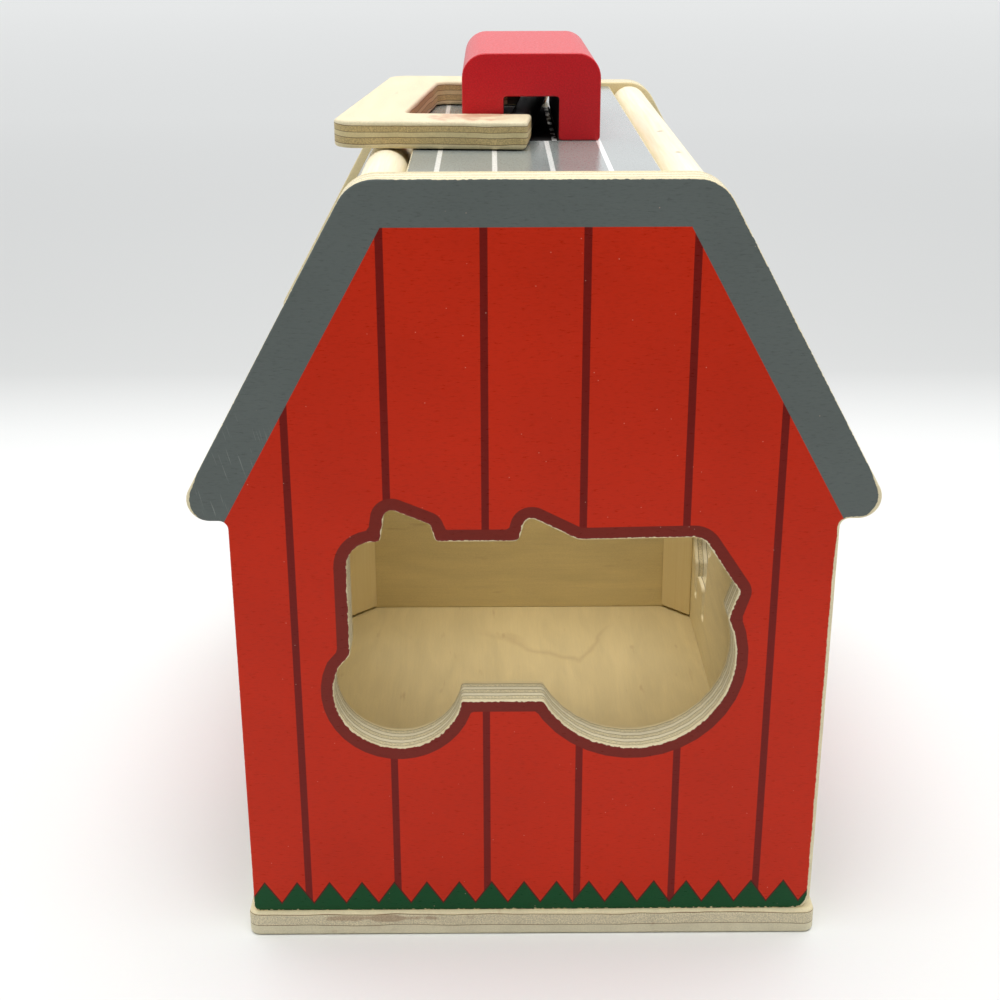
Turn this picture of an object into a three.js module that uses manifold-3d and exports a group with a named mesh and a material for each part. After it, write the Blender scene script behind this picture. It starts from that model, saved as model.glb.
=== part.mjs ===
// Toy barn with a flip-up roof and a flip-over carry handle. Millimetres, +Z up.
// X runs to the right and Y from the front gable to the rear one.
// The origin is the middle of the base board's underside.
import * as THREE from 'three';
import { mergeVertices } from 'three/addons/utils/BufferGeometryUtils.js';
import Module from 'manifold-3d';

const wasm = await Module();
wasm.setup();

const degrees = THREE.MathUtils.degToRad;

// Boards of the body
const bodyWidth = 130;
const bodyDepth = 175.7;
const gableThickness = 9;
const wallThickness = 9;
const baseThickness = 6;
const baseOverhang = 1.3;
const baseCornerRadius = 2.5;

// Outline of both gables, with heights above the base board
const gableHeight = 170.3;
const ridgeMargin = 4.6;
const eaveHeight = 98.4;
const roofPitch = degrees(60.9);
const ridgeCornerRadius = 8.5;
const eaveTipRadius = 4.7;
const eaveFilletRadius = 2;
const gableFootRadius = 1.5;

// Fixed top of the roof, and the cleats that it is glued on
const roofPanelWidth = 52.6;
const roofPanelThickness = 6;
const roofPanelDrop = 1;
const cleatSection = 9;
const cleatSetback = 3;

// Roof flaps and the round rods that they turn on
const rodDiameter = 10;
const rodPanelGap = 0.8;
const rodDrop = 6;
const tenonDiameter = 6;
const tenonLength = 5;
const flapThickness = 6;
const flapLength = 74;
const flapRecess = 0.4;

// Block on the ridge, with the tunnel that holds the handle
const bridgeWidth = 31.6;
const bridgeLength = 61.6;
const bridgeHeight = 19.5;
const bridgeOffset = 0.45;
const bridgeEdgeRadius = 5.5;
const tunnelWidth = 12.5;
const tunnelHeight = 9.9;

// Carry handle, which lies a little askew in the tunnel
const handleThickness = 6;
const handleLength = 93.2;
const handleReach = 43.7;
const gripWidth = 14.7;
const gripCornerRadius = 5;
const heelCornerRadius = 5;
const handleHoleRadius = 3;
const handleBarDiameter = 6;
const handlePlay = 1.6;
const handleOffset = 0.3;
const handleSkew = degrees(5);

// Three-sided glue blocks upright in the corners inside
const cornerBlockLeg = 9;
const cornerBlockHeight = 84;
const cornerBlockLift = 0.8;

// Tractor window in the front gable. Each row of topShares is a corner of the bodywork, from the
// right wheel over the top to the left wheel: across, up and corner radius.
const tractor = {
  width: 88.6,
  height: 57.6,
  sill: 43.3,
  offset: 0.1,
  leftWheelRadius: 14.2,
  rightWheelRadius: 22.3,
  wheelInset: 0,
  axleShare: 0.208,
  leftJoinShare: 0.35,
  rightJoinShare: 0.55,
  topShares: [
    [1, 0.665, 0.024], [0.905, 0.884, 0.065], [0.605, 0.876, 0.05], [0.48, 0.974, 0.031],
    [0.462, 0.871, 0.026], [0.261, 0.871, 0.021], [0.249, 0.939, 0.021], [0.142, 1.008, 0.031],
    [0.128, 0.87, 0.021], [0.045, 0.87, 0.1], [0.045, 0.404, 0.026],
  ],
};

// Pickup truck window in the rear gable, written in the same way
const truck = {
  width: 88,
  height: 44,
  sill: 48,
  offset: 0,
  leftWheelRadius: 11,
  rightWheelRadius: 11,
  wheelInset: 8,
  axleShare: 0.22,
  leftJoinShare: 0.22,
  rightJoinShare: 0.22,
  topShares: [
    [1, 0.22, 0.05], [1, 0.58, 0.08], [0.74, 0.66, 0.06], [0.64, 1, 0.09], [0.36, 1, 0.06],
    [0.36, 0.6, 0.04], [0, 0.6, 0.05], [0, 0.22, 0.05],
  ],
};

// Animal windows in the side walls, each row a corner: along, up and corner radius
const animalWidth = 38;
const animalHeight = 44;
const animalSill = 12;
const animalEndMargin = 9.35;
const sheepShares = [
  [0.26, 0, 0.02], [0.38, 0, 0.02], [0.4, 0.2, 0.03], [0.68, 0.2, 0.03], [0.7, 0, 0.02],
  [0.82, 0, 0.02], [0.84, 0.24, 0.04], [0.98, 0.34, 0.08], [0.9, 0.5, 0.03], [1, 0.66, 0.08],
  [0.86, 0.74, 0.03], [0.8, 0.94, 0.08], [0.66, 0.84, 0.03], [0.54, 1, 0.08], [0.42, 0.86, 0.03],
  [0.3, 0.92, 0.07], [0.24, 0.8, 0.03], [0.06, 0.84, 0.05], [0, 0.6, 0.05], [0.14, 0.54, 0.04],
  [0.2, 0.3, 0.08],
];
const henShares = [
  [0.34, 0, 0.03], [0.62, 0, 0.03], [0.57, 0.16, 0.04], [0.8, 0.3, 0.1], [1, 0.72, 0.05],
  [0.9, 0.8, 0.04], [0.66, 0.6, 0.09], [0.46, 0.64, 0.08], [0.36, 0.94, 0.06], [0.24, 1, 0.05],
  [0.14, 0.92, 0.04], [0.14, 0.8, 0.03], [0, 0.74, 0.02], [0.14, 0.66, 0.03], [0.14, 0.36, 0.1],
  [0.4, 0.16, 0.04],
];
const pigShares = [
  [0.18, 0, 0.03], [0.33, 0, 0.03], [0.36, 0.2, 0.04], [0.66, 0.2, 0.04], [0.69, 0, 0.03],
  [0.84, 0, 0.03], [0.9, 0.36, 0.1], [1, 0.62, 0.03], [0.92, 0.88, 0.12], [0.4, 0.92, 0.08],
  [0.34, 1, 0.03], [0.26, 0.88, 0.04], [0.1, 0.78, 0.06], [0, 0.68, 0.03], [0, 0.46, 0.03],
  [0.14, 0.4, 0.05], [0.2, 0.28, 0.05],
];
const cowShares = [
  [0.22, 0, 0.02], [0.34, 0, 0.02], [0.37, 0.26, 0.04], [0.72, 0.26, 0.04], [0.75, 0, 0.02],
  [0.87, 0, 0.02], [0.9, 0.36, 0.05], [1, 0.42, 0.03], [0.96, 0.76, 0.07], [0.42, 0.8, 0.08],
  [0.32, 1, 0.04], [0.18, 0.94, 0.04], [0, 0.72, 0.04], [0.05, 0.58, 0.04], [0.2, 0.58, 0.05],
];

// Countersunk wood screws
const screw = { shankRadius: 1.5, headRadius: 3, headDepth: 2, sink: 0.3, sides: 10 };
const baseScrewLength = 18;
const gableScrewInset = 20;
const wallScrewMargin = 7;
const bridgeScrewLength = 15;
const bridgeScrewInset = 12;

// Fits
const glueGap = 0.3;
const restGap = 0.3;
const flapEndClearance = 0.7;
const tenonClearance = 0.25;
const screwClearance = 0.2;
const overrun = 5;

// Arcs are split into steps of this angle, and round rods into this many sides
const arcStep = degrees(10);
const rodSides = 24;

// Places that follow from the sizes above
const halfWidth = bodyWidth / 2;
const halfDepth = bodyDepth / 2;
const innerHalfWidth = halfWidth - wallThickness;
const innerHalfDepth = halfDepth - gableThickness;
const animalMiddle = innerHalfDepth - animalEndMargin - animalWidth / 2;
const gableTop = baseThickness + gableHeight;
const panelTop = gableTop - roofPanelDrop;
const panelBottom = panelTop - roofPanelThickness;
const rodZ = gableTop - rodDrop;
const rodRadius = rodDiameter / 2;
const rodX = roofPanelWidth / 2 + rodPanelGap + rodRadius;
const ridgeHalfWidth = rodX + ridgeMargin;
const tenonRadius = tenonDiameter / 2;
const flapOuter = rodRadius - flapRecess;
const flapInner = flapOuter - flapThickness;
const handleBarRadius = handleBarDiameter / 2;
const handleAxisZ = panelTop + restGap + handleBarRadius;
const handleHoleHalf = bridgeLength / 2 + handlePlay;

const birchPly = { color: 0xd9c79c, roughness: 0.65, metalness: 0 };
const beechRod = { color: 0xe2d2a8, roughness: 0.6, metalness: 0 };
const redPaint = { color: 0xc0351f, roughness: 0.5, metalness: 0 };
const crimsonPaint = { color: 0xae1424, roughness: 0.45, metalness: 0 };
const greyPaint = { color: 0x5c6668, roughness: 0.3, metalness: 0 };
const zincSteel = { color: 0xb9bcc0, roughness: 0.35, metalness: 1 };

const barn = new THREE.Group();

function addPiece(name, solid, finish) {
  const data = solid.getMesh();
  const geometry = new THREE.BufferGeometry();
  geometry.setAttribute('position', new THREE.BufferAttribute(data.vertProperties, 3));
  geometry.setIndex(new THREE.BufferAttribute(data.triVerts, 1));
  geometry.computeVertexNormals();
  const mesh = new THREE.Mesh(geometry, new THREE.MeshStandardMaterial(finish));
  mesh.name = name;
  barn.add(mesh);
}

// A closed geometry as a solid that can be cut and joined
function toSolid(geometry) {
  geometry.deleteAttribute('normal');
  geometry.deleteAttribute('uv');
  const merged = mergeVertices(geometry);
  return new wasm.Manifold(new wasm.Mesh({
    numProp: 3,
    vertProperties: new Float32Array(merged.attributes.position.array),
    triVerts: new Uint32Array(merged.index.array),
  }));
}

// Points of an arc about (cx, cy), from one angle to another
function arc(cx, cy, radius, from, to) {
  const steps = Math.max(1, Math.ceil(Math.abs(to - from) / arcStep));
  return Array.from({ length: steps + 1 }, (_, i) => {
    const angle = from + ((to - from) * i) / steps;
    return [cx + radius * Math.cos(angle), cy + radius * Math.sin(angle), 0];
  });
}

// Turns corners [x, y, radius] into a Shape, with each corner rounded to its radius
function roundedShape(corners) {
  const points = corners.flatMap(([x, y, radius], i) => {
    if (radius === 0) return [[x, y]];
    const before = corners[(i + corners.length - 1) % corners.length];
    const after = corners[(i + 1) % corners.length];
    const corner = new THREE.Vector2(x, y);
    const back = new THREE.Vector2(before[0] - x, before[1] - y).normalize();
    const ahead = new THREE.Vector2(after[0] - x, after[1] - y).normalize();
    const half = Math.acos(THREE.MathUtils.clamp(back.dot(ahead), -1, 1)) / 2;
    const centre = back.clone().add(ahead).setLength(radius / Math.sin(half)).add(corner);
    const first = back.multiplyScalar(radius / Math.tan(half)).add(corner).sub(centre);
    const last = ahead.multiplyScalar(radius / Math.tan(half)).add(corner).sub(centre);
    const turn = Math.atan2(first.cross(last), first.dot(last));
    return arc(centre.x, centre.y, radius, first.angle(), first.angle() + turn);
  });
  return new THREE.Shape(points.map(([x, y]) => new THREE.Vector2(x, y)));
}

// A shape drawn in X and Z, pushed along Y from frontY towards the rear
function alongY(shape, frontY, depth) {
  const geometry = new THREE.ExtrudeGeometry(shape, { depth, bevelEnabled: false });
  return toSolid(geometry.rotateX(Math.PI / 2).translate(0, frontY + depth, 0));
}

// A shape drawn in Y and Z, pushed along X from leftX towards the right
function alongX(shape, leftX, depth) {
  const geometry = new THREE.ExtrudeGeometry(shape, { depth, bevelEnabled: false });
  return toSolid(geometry.rotateX(Math.PI / 2).rotateZ(Math.PI / 2).translate(leftX, 0, 0));
}

// A shape drawn in X and Y, pushed up along Z
function alongZ(shape, bottomZ, height) {
  const geometry = new THREE.ExtrudeGeometry(shape, { depth: height, bevelEnabled: false });
  return toSolid(geometry.translate(0, 0, bottomZ));
}

function box(x0, x1, y0, y1, z0, z1) {
  const geometry = new THREE.BoxGeometry(x1 - x0, y1 - y0, z1 - z0);
  return toSolid(geometry.translate((x0 + x1) / 2, (y0 + y1) / 2, (z0 + z1) / 2));
}

// A round rod along Y through (x, z)
function rodAlongY(x, z, radius, y0, y1) {
  const geometry = new THREE.CylinderGeometry(radius, radius, y1 - y0, rodSides);
  return toSolid(geometry.translate(x, (y0 + y1) / 2, z));
}

// Height of a line that runs down the roof slope, n out from the rod's axis
function slopeHeight(x, n) {
  const run = x - rodX - n * Math.sin(roofPitch);
  return rodZ - run * Math.tan(roofPitch) + n * Math.cos(roofPitch);
}

// Screw, or the hole for it, pointing up: a countersunk head under a round shank
function screwSolid(x, y, bottomZ, length, clearance) {
  const { shankRadius, headRadius, headDepth, sink, sides } = screw;
  const widest = headRadius + clearance;
  const mouth = clearance > 0 ? [[0, bottomZ - overrun], [widest, bottomZ - overrun]] : [[0, bottomZ + sink]];
  const profile = [
    ...mouth,
    [widest, bottomZ + sink],
    [shankRadius + clearance, bottomZ + sink + headDepth],
    [shankRadius + clearance, bottomZ + length + clearance],
    [0, bottomZ + length + clearance],
  ];
  const points = profile.map(([r, z]) => new THREE.Vector2(r, z));
  return toSolid(new THREE.LatheGeometry(points, sides).rotateX(Math.PI / 2).translate(x, y, 0));
}

function gableShape() {
  const eaveHalfWidth = ridgeHalfWidth + (gableHeight - eaveHeight) / Math.tan(roofPitch);
  const right = [
    [halfWidth, baseThickness, gableFootRadius],
    [halfWidth, baseThickness + eaveHeight, eaveFilletRadius],
    [eaveHalfWidth, baseThickness + eaveHeight, eaveTipRadius],
    [ridgeHalfWidth, gableTop, ridgeCornerRadius],
  ];
  const left = right.map(([x, z, radius]) => [-x, z, radius]).reverse();
  return roundedShape([...right, ...left]);
}

// Side view of a vehicle: two wheels with a flat underside between them, and the bodywork above
function vehicleShape(vehicle) {
  const left = vehicle.offset - vehicle.width / 2;
  const right = vehicle.offset + vehicle.width / 2;
  const bottom = baseThickness + vehicle.sill;
  const smallX = left + vehicle.wheelInset + vehicle.leftWheelRadius;
  const largeX = right - vehicle.wheelInset - vehicle.rightWheelRadius;
  const angleAt = (share, radius) => Math.asin((share * vehicle.height - radius) / radius);
  const leftStart = Math.PI - angleAt(vehicle.leftJoinShare, vehicle.leftWheelRadius);
  const leftEnd = 2 * Math.PI + angleAt(vehicle.axleShare, vehicle.leftWheelRadius);
  const rightStart = Math.PI - angleAt(vehicle.axleShare, vehicle.rightWheelRadius);
  const rightEnd = 2 * Math.PI + angleAt(vehicle.rightJoinShare, vehicle.rightWheelRadius);
  return roundedShape([
    ...arc(smallX, bottom + vehicle.leftWheelRadius, vehicle.leftWheelRadius, leftStart, leftEnd),
    ...arc(largeX, bottom + vehicle.rightWheelRadius, vehicle.rightWheelRadius, rightStart, rightEnd),
    ...vehicle.topShares.map(([across, up, radius]) => [
      left + across * vehicle.width,
      bottom + up * vehicle.height,
      radius * vehicle.height,
    ]),
  ]);
}

function animalShape(shares, middleY) {
  return roundedShape(shares.map(([along, up, radius]) => [
    middleY + (along - 1 / 2) * animalWidth,
    baseThickness + animalSill + up * animalHeight,
    radius * animalHeight,
  ]));
}

// Places of the screws that hold the base: two in each gable, and two in each wall between its windows
function baseScrewPlaces() {
  const gableX = halfWidth - gableScrewInset;
  const gableY = halfDepth - gableThickness / 2;
  const wallX = halfWidth - wallThickness / 2;
  const wallY = animalMiddle - animalWidth / 2 - wallScrewMargin;
  return [
    ['front_left', -gableX, -gableY], ['front_right', gableX, -gableY],
    ['rear_left', -gableX, gableY], ['rear_right', gableX, gableY],
    ['left_front', -wallX, -wallY], ['left_rear', -wallX, wallY],
    ['right_front', wallX, -wallY], ['right_rear', wallX, wallY],
  ];
}

// Places of the screws that hold the bridge: two in each of its legs
function bridgeScrewPlaces() {
  const legMiddle = (bridgeWidth + tunnelWidth) / 4;
  const y = bridgeLength / 2 - bridgeScrewInset;
  return [
    ['left_front', bridgeOffset - legMiddle, -y], ['left_rear', bridgeOffset - legMiddle, y],
    ['right_front', bridgeOffset + legMiddle, -y], ['right_rear', bridgeOffset + legMiddle, y],
  ];
}

function cutBaseScrewHoles(solid) {
  return baseScrewPlaces().reduce((rest, [, x, y]) => (
    rest.subtract(screwSolid(x, y, 0, baseScrewLength, screwClearance))), solid);
}

function cutBridgeScrewHoles(solid) {
  return bridgeScrewPlaces().reduce((rest, [, x, y]) => (
    rest.subtract(screwSolid(x, y, panelBottom, bridgeScrewLength, screwClearance))), solid);
}

function baseBoard() {
  const x = halfWidth + baseOverhang;
  const y = halfDepth + baseOverhang;
  const outline = [[-x, -y], [x, -y], [x, y], [-x, y]].map(([px, py]) => [px, py, baseCornerRadius]);
  return cutBaseScrewHoles(alongZ(roundedShape(outline), 0, baseThickness));
}

// Gable with its window, blind holes for the rods' tenons, and screw holes in its foot
function gable(frontY, window) {
  const windowCut = alongY(vehicleShape(window), frontY - overrun, gableThickness + 2 * overrun);
  const tenonHole = innerHalfDepth + tenonLength + restGap;
  const holes = [-rodX, rodX].map((x) => (
    rodAlongY(x, rodZ, tenonRadius + tenonClearance, -tenonHole, tenonHole)));
  const board = alongY(gableShape(), frontY, gableThickness).subtract(windowCut);
  return cutBaseScrewHoles(holes.reduce((rest, hole) => rest.subtract(hole), board));
}

// Side wall, with its top bevelled to the roof slope and two animal windows
function sideWall(side, frontShares, rearShares) {
  const outline = [
    [innerHalfWidth, baseThickness],
    [halfWidth, baseThickness],
    [halfWidth, slopeHeight(halfWidth, flapInner - restGap)],
    [innerHalfWidth, slopeHeight(innerHalfWidth, flapInner - restGap)],
  ].map(([x, z]) => [side * x, z, 0]);
  const cutX = side > 0 ? innerHalfWidth - overrun : -halfWidth - overrun;
  const windows = [[frontShares, -animalMiddle], [rearShares, animalMiddle]];
  const wall = windows.reduce((rest, [shares, y]) => (
    rest.subtract(alongX(animalShape(shares, y), cutX, wallThickness + 2 * overrun))),
  alongY(roundedShape(outline), -innerHalfDepth, 2 * innerHalfDepth));
  return cutBaseScrewHoles(wall);
}

function cornerBlock(sideX, sideY) {
  const x = sideX * innerHalfWidth;
  const y = sideY * innerHalfDepth;
  const outline = [
    [x, y, 0],
    [x - sideX * cornerBlockLeg, y, 0],
    [x, y - sideY * cornerBlockLeg, 0],
  ];
  return alongZ(roundedShape(outline), baseThickness + cornerBlockLift, cornerBlockHeight);
}

function roofPanel() {
  const x = roofPanelWidth / 2;
  return cutBridgeScrewHoles(box(-x, x, -innerHalfDepth, innerHalfDepth, panelBottom, panelTop));
}

// Cleat on the inside of a gable, under an end of the roof panel
function roofCleat(sideY) {
  const x = roofPanelWidth / 2 - cleatSetback;
  const outer = sideY * innerHalfDepth;
  const inner = sideY * (innerHalfDepth - cleatSection);
  return box(-x, x, Math.min(outer, inner), Math.max(outer, inner), panelBottom - cleatSection, panelBottom);
}

function handleBridge() {
  const left = bridgeOffset - bridgeWidth / 2;
  const right = bridgeOffset + bridgeWidth / 2;
  const top = panelTop + bridgeHeight;
  const tunnelLeft = bridgeOffset - tunnelWidth / 2;
  const tunnelRight = bridgeOffset + tunnelWidth / 2;
  const tunnelTop = panelTop + tunnelHeight;
  const outline = [
    [left, panelTop, 0], [tunnelLeft, panelTop, 0], [tunnelLeft, tunnelTop, 0],
    [tunnelRight, tunnelTop, 0], [tunnelRight, panelTop, 0], [right, panelTop, 0],
    [right, top, bridgeEdgeRadius], [left, top, bridgeEdgeRadius],
  ];
  return cutBridgeScrewHoles(alongY(roundedShape(outline), -bridgeLength / 2, bridgeLength));
}

// Flat ring: a C of ply whose open side is closed by a round bar, with the heel rounded about
// the bar's axis so that the ring can turn over the panel. It is drawn about that axis.
function carryHandle() {
  const half = handleLength / 2;
  const back = handleBarRadius;
  const grip = back - handleReach;
  const hole = grip + gripWidth;
  const low = handleAxisZ - handleThickness / 2;
  const plate = alongZ(roundedShape([
    [grip, -half, gripCornerRadius], [back, -half, heelCornerRadius], [back, -handleHoleHalf, 0],
    [hole, -handleHoleHalf, handleHoleRadius], [hole, handleHoleHalf, handleHoleRadius],
    [back, handleHoleHalf, 0], [back, half, heelCornerRadius], [grip, half, gripCornerRadius],
  ]), low, handleThickness);
  const barEnd = (half + handleHoleHalf) / 2;
  const bar = rodAlongY(0, handleAxisZ, handleBarRadius, -barEnd, barEnd);
  const heelRound = rodAlongY(0, handleAxisZ, handleBarRadius, -half - overrun, half + overrun);
  const heelEdge = box(0, back + overrun, -half - overrun, half + overrun, low - overrun, handleAxisZ);
  return plate.subtract(heelEdge.subtract(heelRound)).add(bar)
    .rotate([0, 0, -THREE.MathUtils.radToDeg(handleSkew)])
    .translate([handleOffset, 0, 0]);
}

// Round rod with turned-down tenons, which sit in the blind holes of the gables
function hingeRod(side) {
  const tenonEnd = innerHalfDepth + tenonLength;
  const shoulder = innerHalfDepth - restGap;
  const profile = [
    [0, -tenonEnd], [tenonRadius, -tenonEnd], [tenonRadius, -shoulder], [rodRadius, -shoulder],
    [rodRadius, shoulder], [tenonRadius, shoulder], [tenonRadius, tenonEnd], [0, tenonEnd],
  ].map(([r, y]) => new THREE.Vector2(r, y));
  return toSolid(new THREE.LatheGeometry(profile, rodSides).translate(side * rodX, 0, rodZ));
}

// Board along the slope, with its top edge hollowed to sit on the rod
function roofFlap(side) {
  const corners = [[0, flapInner], [flapLength, flapInner], [flapLength, flapOuter], [0, flapOuter]];
  const outline = corners.map(([u, n]) => [
    side * (rodX + u * Math.cos(roofPitch) + n * Math.sin(roofPitch)),
    rodZ - u * Math.sin(roofPitch) + n * Math.cos(roofPitch),
    0,
  ]);
  const end = innerHalfDepth - flapEndClearance;
  const hollow = rodAlongY(side * rodX, rodZ, rodRadius + glueGap, -end - overrun, end + overrun);
  return alongY(roundedShape(outline), -end, 2 * end).subtract(hollow);
}

addPiece('base_board', baseBoard(), birchPly);
addPiece('front_gable', gable(-halfDepth, tractor), redPaint);
addPiece('rear_gable', gable(innerHalfDepth, truck), redPaint);
addPiece('left_wall', sideWall(-1, cowShares, henShares), redPaint);
addPiece('right_wall', sideWall(1, pigShares, sheepShares), redPaint);
addPiece('corner_block_front_left', cornerBlock(-1, -1), birchPly);
addPiece('corner_block_front_right', cornerBlock(1, -1), birchPly);
addPiece('corner_block_rear_left', cornerBlock(-1, 1), birchPly);
addPiece('corner_block_rear_right', cornerBlock(1, 1), birchPly);
addPiece('roof_panel', roofPanel(), greyPaint);
addPiece('front_roof_cleat', roofCleat(-1), birchPly);
addPiece('rear_roof_cleat', roofCleat(1), birchPly);
addPiece('handle_bridge', handleBridge(), crimsonPaint);
addPiece('carry_handle', carryHandle(), birchPly);
for (const [name, side] of [['left', -1], ['right', 1]]) {
  addPiece(`${name}_hinge_rod`, hingeRod(side), beechRod);
  addPiece(`${name}_roof_flap`, roofFlap(side), greyPaint);
}
for (const [place, x, y] of baseScrewPlaces()) {
  addPiece(`base_screw_${place}`, screwSolid(x, y, 0, baseScrewLength, 0), zincSteel);
}
for (const [place, x, y] of bridgeScrewPlaces()) {
  addPiece(`bridge_screw_${place}`, screwSolid(x, y, panelBottom, bridgeScrewLength, 0), zincSteel);
}

export default barn;
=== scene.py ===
import math
from functools import partial

import bmesh
import bpy
import numpy as np
from mathutils import Matrix, Vector
from mathutils.geometry import delaunay_2d_cdt


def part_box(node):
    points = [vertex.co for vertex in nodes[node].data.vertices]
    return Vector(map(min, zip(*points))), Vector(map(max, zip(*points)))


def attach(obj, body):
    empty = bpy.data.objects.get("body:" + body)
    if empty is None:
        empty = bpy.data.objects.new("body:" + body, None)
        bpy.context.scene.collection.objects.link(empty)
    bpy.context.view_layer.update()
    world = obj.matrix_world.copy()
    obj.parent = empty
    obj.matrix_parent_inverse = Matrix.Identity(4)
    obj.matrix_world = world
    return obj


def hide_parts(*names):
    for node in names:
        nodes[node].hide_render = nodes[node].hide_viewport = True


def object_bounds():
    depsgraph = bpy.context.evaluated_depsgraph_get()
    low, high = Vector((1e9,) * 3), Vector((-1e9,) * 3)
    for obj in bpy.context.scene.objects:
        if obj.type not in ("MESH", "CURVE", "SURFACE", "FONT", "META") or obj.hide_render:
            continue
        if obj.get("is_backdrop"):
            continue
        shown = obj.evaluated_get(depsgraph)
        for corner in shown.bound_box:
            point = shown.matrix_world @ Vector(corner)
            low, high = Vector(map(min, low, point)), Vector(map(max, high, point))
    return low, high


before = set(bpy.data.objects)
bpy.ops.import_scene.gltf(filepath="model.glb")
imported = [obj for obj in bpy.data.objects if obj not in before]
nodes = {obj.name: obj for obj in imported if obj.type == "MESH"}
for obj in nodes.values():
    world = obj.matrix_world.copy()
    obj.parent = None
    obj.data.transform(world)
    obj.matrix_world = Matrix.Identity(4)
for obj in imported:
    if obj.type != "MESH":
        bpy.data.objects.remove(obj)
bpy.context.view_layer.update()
mm = 0.001
noiseSpan = (0.3, 0.7)  # nearly all of a rich noise's values lie here
plainSpan = (0.35, 0.65)  # and those of a noise with little detail here
smoothStep = {"interpolation_type": "SMOOTHSTEP"}
ofColours = {"data_type": "RGBA"}
print("frame loaded:", len(nodes), "solids")


# sRGB hex code to the linear numbers that a shader works with, by the standard curve
def toLinear(hexCode, alpha=1.0):
    parts = [int(hexCode[i:i + 2], 16) / 255 for i in (1, 3, 5)]
    return (*(c / 12.92 if c <= 0.04045 else ((c + 0.055) / 1.055) ** 2.4 for c in parts), alpha)


# Adds one shader node: its settings, or the name of its operation, then its inputs in order, and
# then its inputs by name
def addNode(tree, kind, settings, *inputs, **named):
    node = tree.nodes.new("ShaderNode" + kind)
    if isinstance(settings, str):
        settings = {"operation": settings}
    for key, value in settings.items():
        if key == "stops":
            ramp = node.color_ramp
            while len(ramp.elements) < len(value):
                ramp.elements.new(1)
            for element, (place, shade) in zip(ramp.elements, value):
                element.position, element.color = place, shade
        else:
            setattr(node, key, value)
    given = list(zip([s for s in node.inputs if s.enabled], inputs))
    given += [(node.inputs[name.replace("_", " ")], value) for name, value in named.items()]
    for socket, value in given:
        if isinstance(value, bpy.types.Node):
            value = next(s for s in value.outputs if s.enabled)
        if isinstance(value, bpy.types.NodeSocket):
            tree.links.new(value, socket)
        elif value is not None:
            socket.default_value = value
    return node


# A material, dressed by a function that works in millimetres of the Object coordinates and returns a
# colour, a roughness, a relief with its depth, and the shader's fixed values
def makeMaterial(name, dress, *facts):
    material = bpy.data.materials.new(name)
    material.use_nodes = True
    material.node_tree.nodes.clear()
    add = partial(addNode, material.node_tree)
    metres = add("TexCoord", {}).outputs["Object"]
    place = add("VectorMath", "SCALE", metres, Scale=1 / mm)
    shade, roughness, relief, depth, fixed = dress(add, place, *facts)
    normal = add("Bump", {}, Strength=1.0, Distance=depth * mm, Height=relief)
    shader = add("BsdfPrincipled", {}, Base_Color=shade, Roughness=roughness, Normal=normal, **fixed)
    add("OutputMaterial", {}, Surface=shader.outputs["BSDF"])
    return material


# Scale of a pattern that is drawn out along one axis, from its length and width in millimetres
def alongGrain(axis, length, width):
    return [1 / (length if i == axis else width) for i in range(3)]


# Lays a flat spot colour over another where a mask is 1
def overprint(add, under, mask, hexCode, opacity=1.0):
    share = add("Math", "MULTIPLY", mask, opacity)
    return add("Mix", ofColours, share, under, toLinear(hexCode))


# Camera, solved from the straight edges of the photograph
camera = {
    "place": (-8.95, -394.74, 227.97),  # mm
    "down": 21.08,  # degrees
    "turn": 0.236,
    "roll": 0.178,
    "lens": 56.2,
    "sensor": 36,
    "shift": (0.0021, -0.0030),
    "clip": (0.01, 50),  # metres
}


# The line of sight is turned about the upright and tipped down, and the picture is rolled about it
def addCamera(settings):
    down, turn, roll = (math.radians(settings[key]) for key in ("down", "turn", "roll"))
    ahead = Vector((math.sin(turn) * math.cos(down), math.cos(turn) * math.cos(down), -math.sin(down)))
    across = Vector((math.cos(turn), -math.sin(turn), 0))
    below = ahead.cross(across)
    right = across * math.cos(roll) + below * math.sin(roll)
    up = across * math.sin(roll) - below * math.cos(roll)
    stand = Matrix((right, up, -ahead)).transposed().to_4x4()
    stand.translation = Vector(settings["place"]) * mm
    eye = bpy.data.cameras.new("photo_camera")
    eye.lens, eye.sensor_width = settings["lens"], settings["sensor"]
    eye.shift_x, eye.shift_y = settings["shift"]
    eye.clip_start, eye.clip_end = settings["clip"]
    holder = bpy.data.objects.new("photo_camera", eye)
    holder.matrix_world = stand
    bpy.context.scene.collection.objects.link(holder)
    bpy.context.scene.camera = holder


addCamera(camera)

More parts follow.
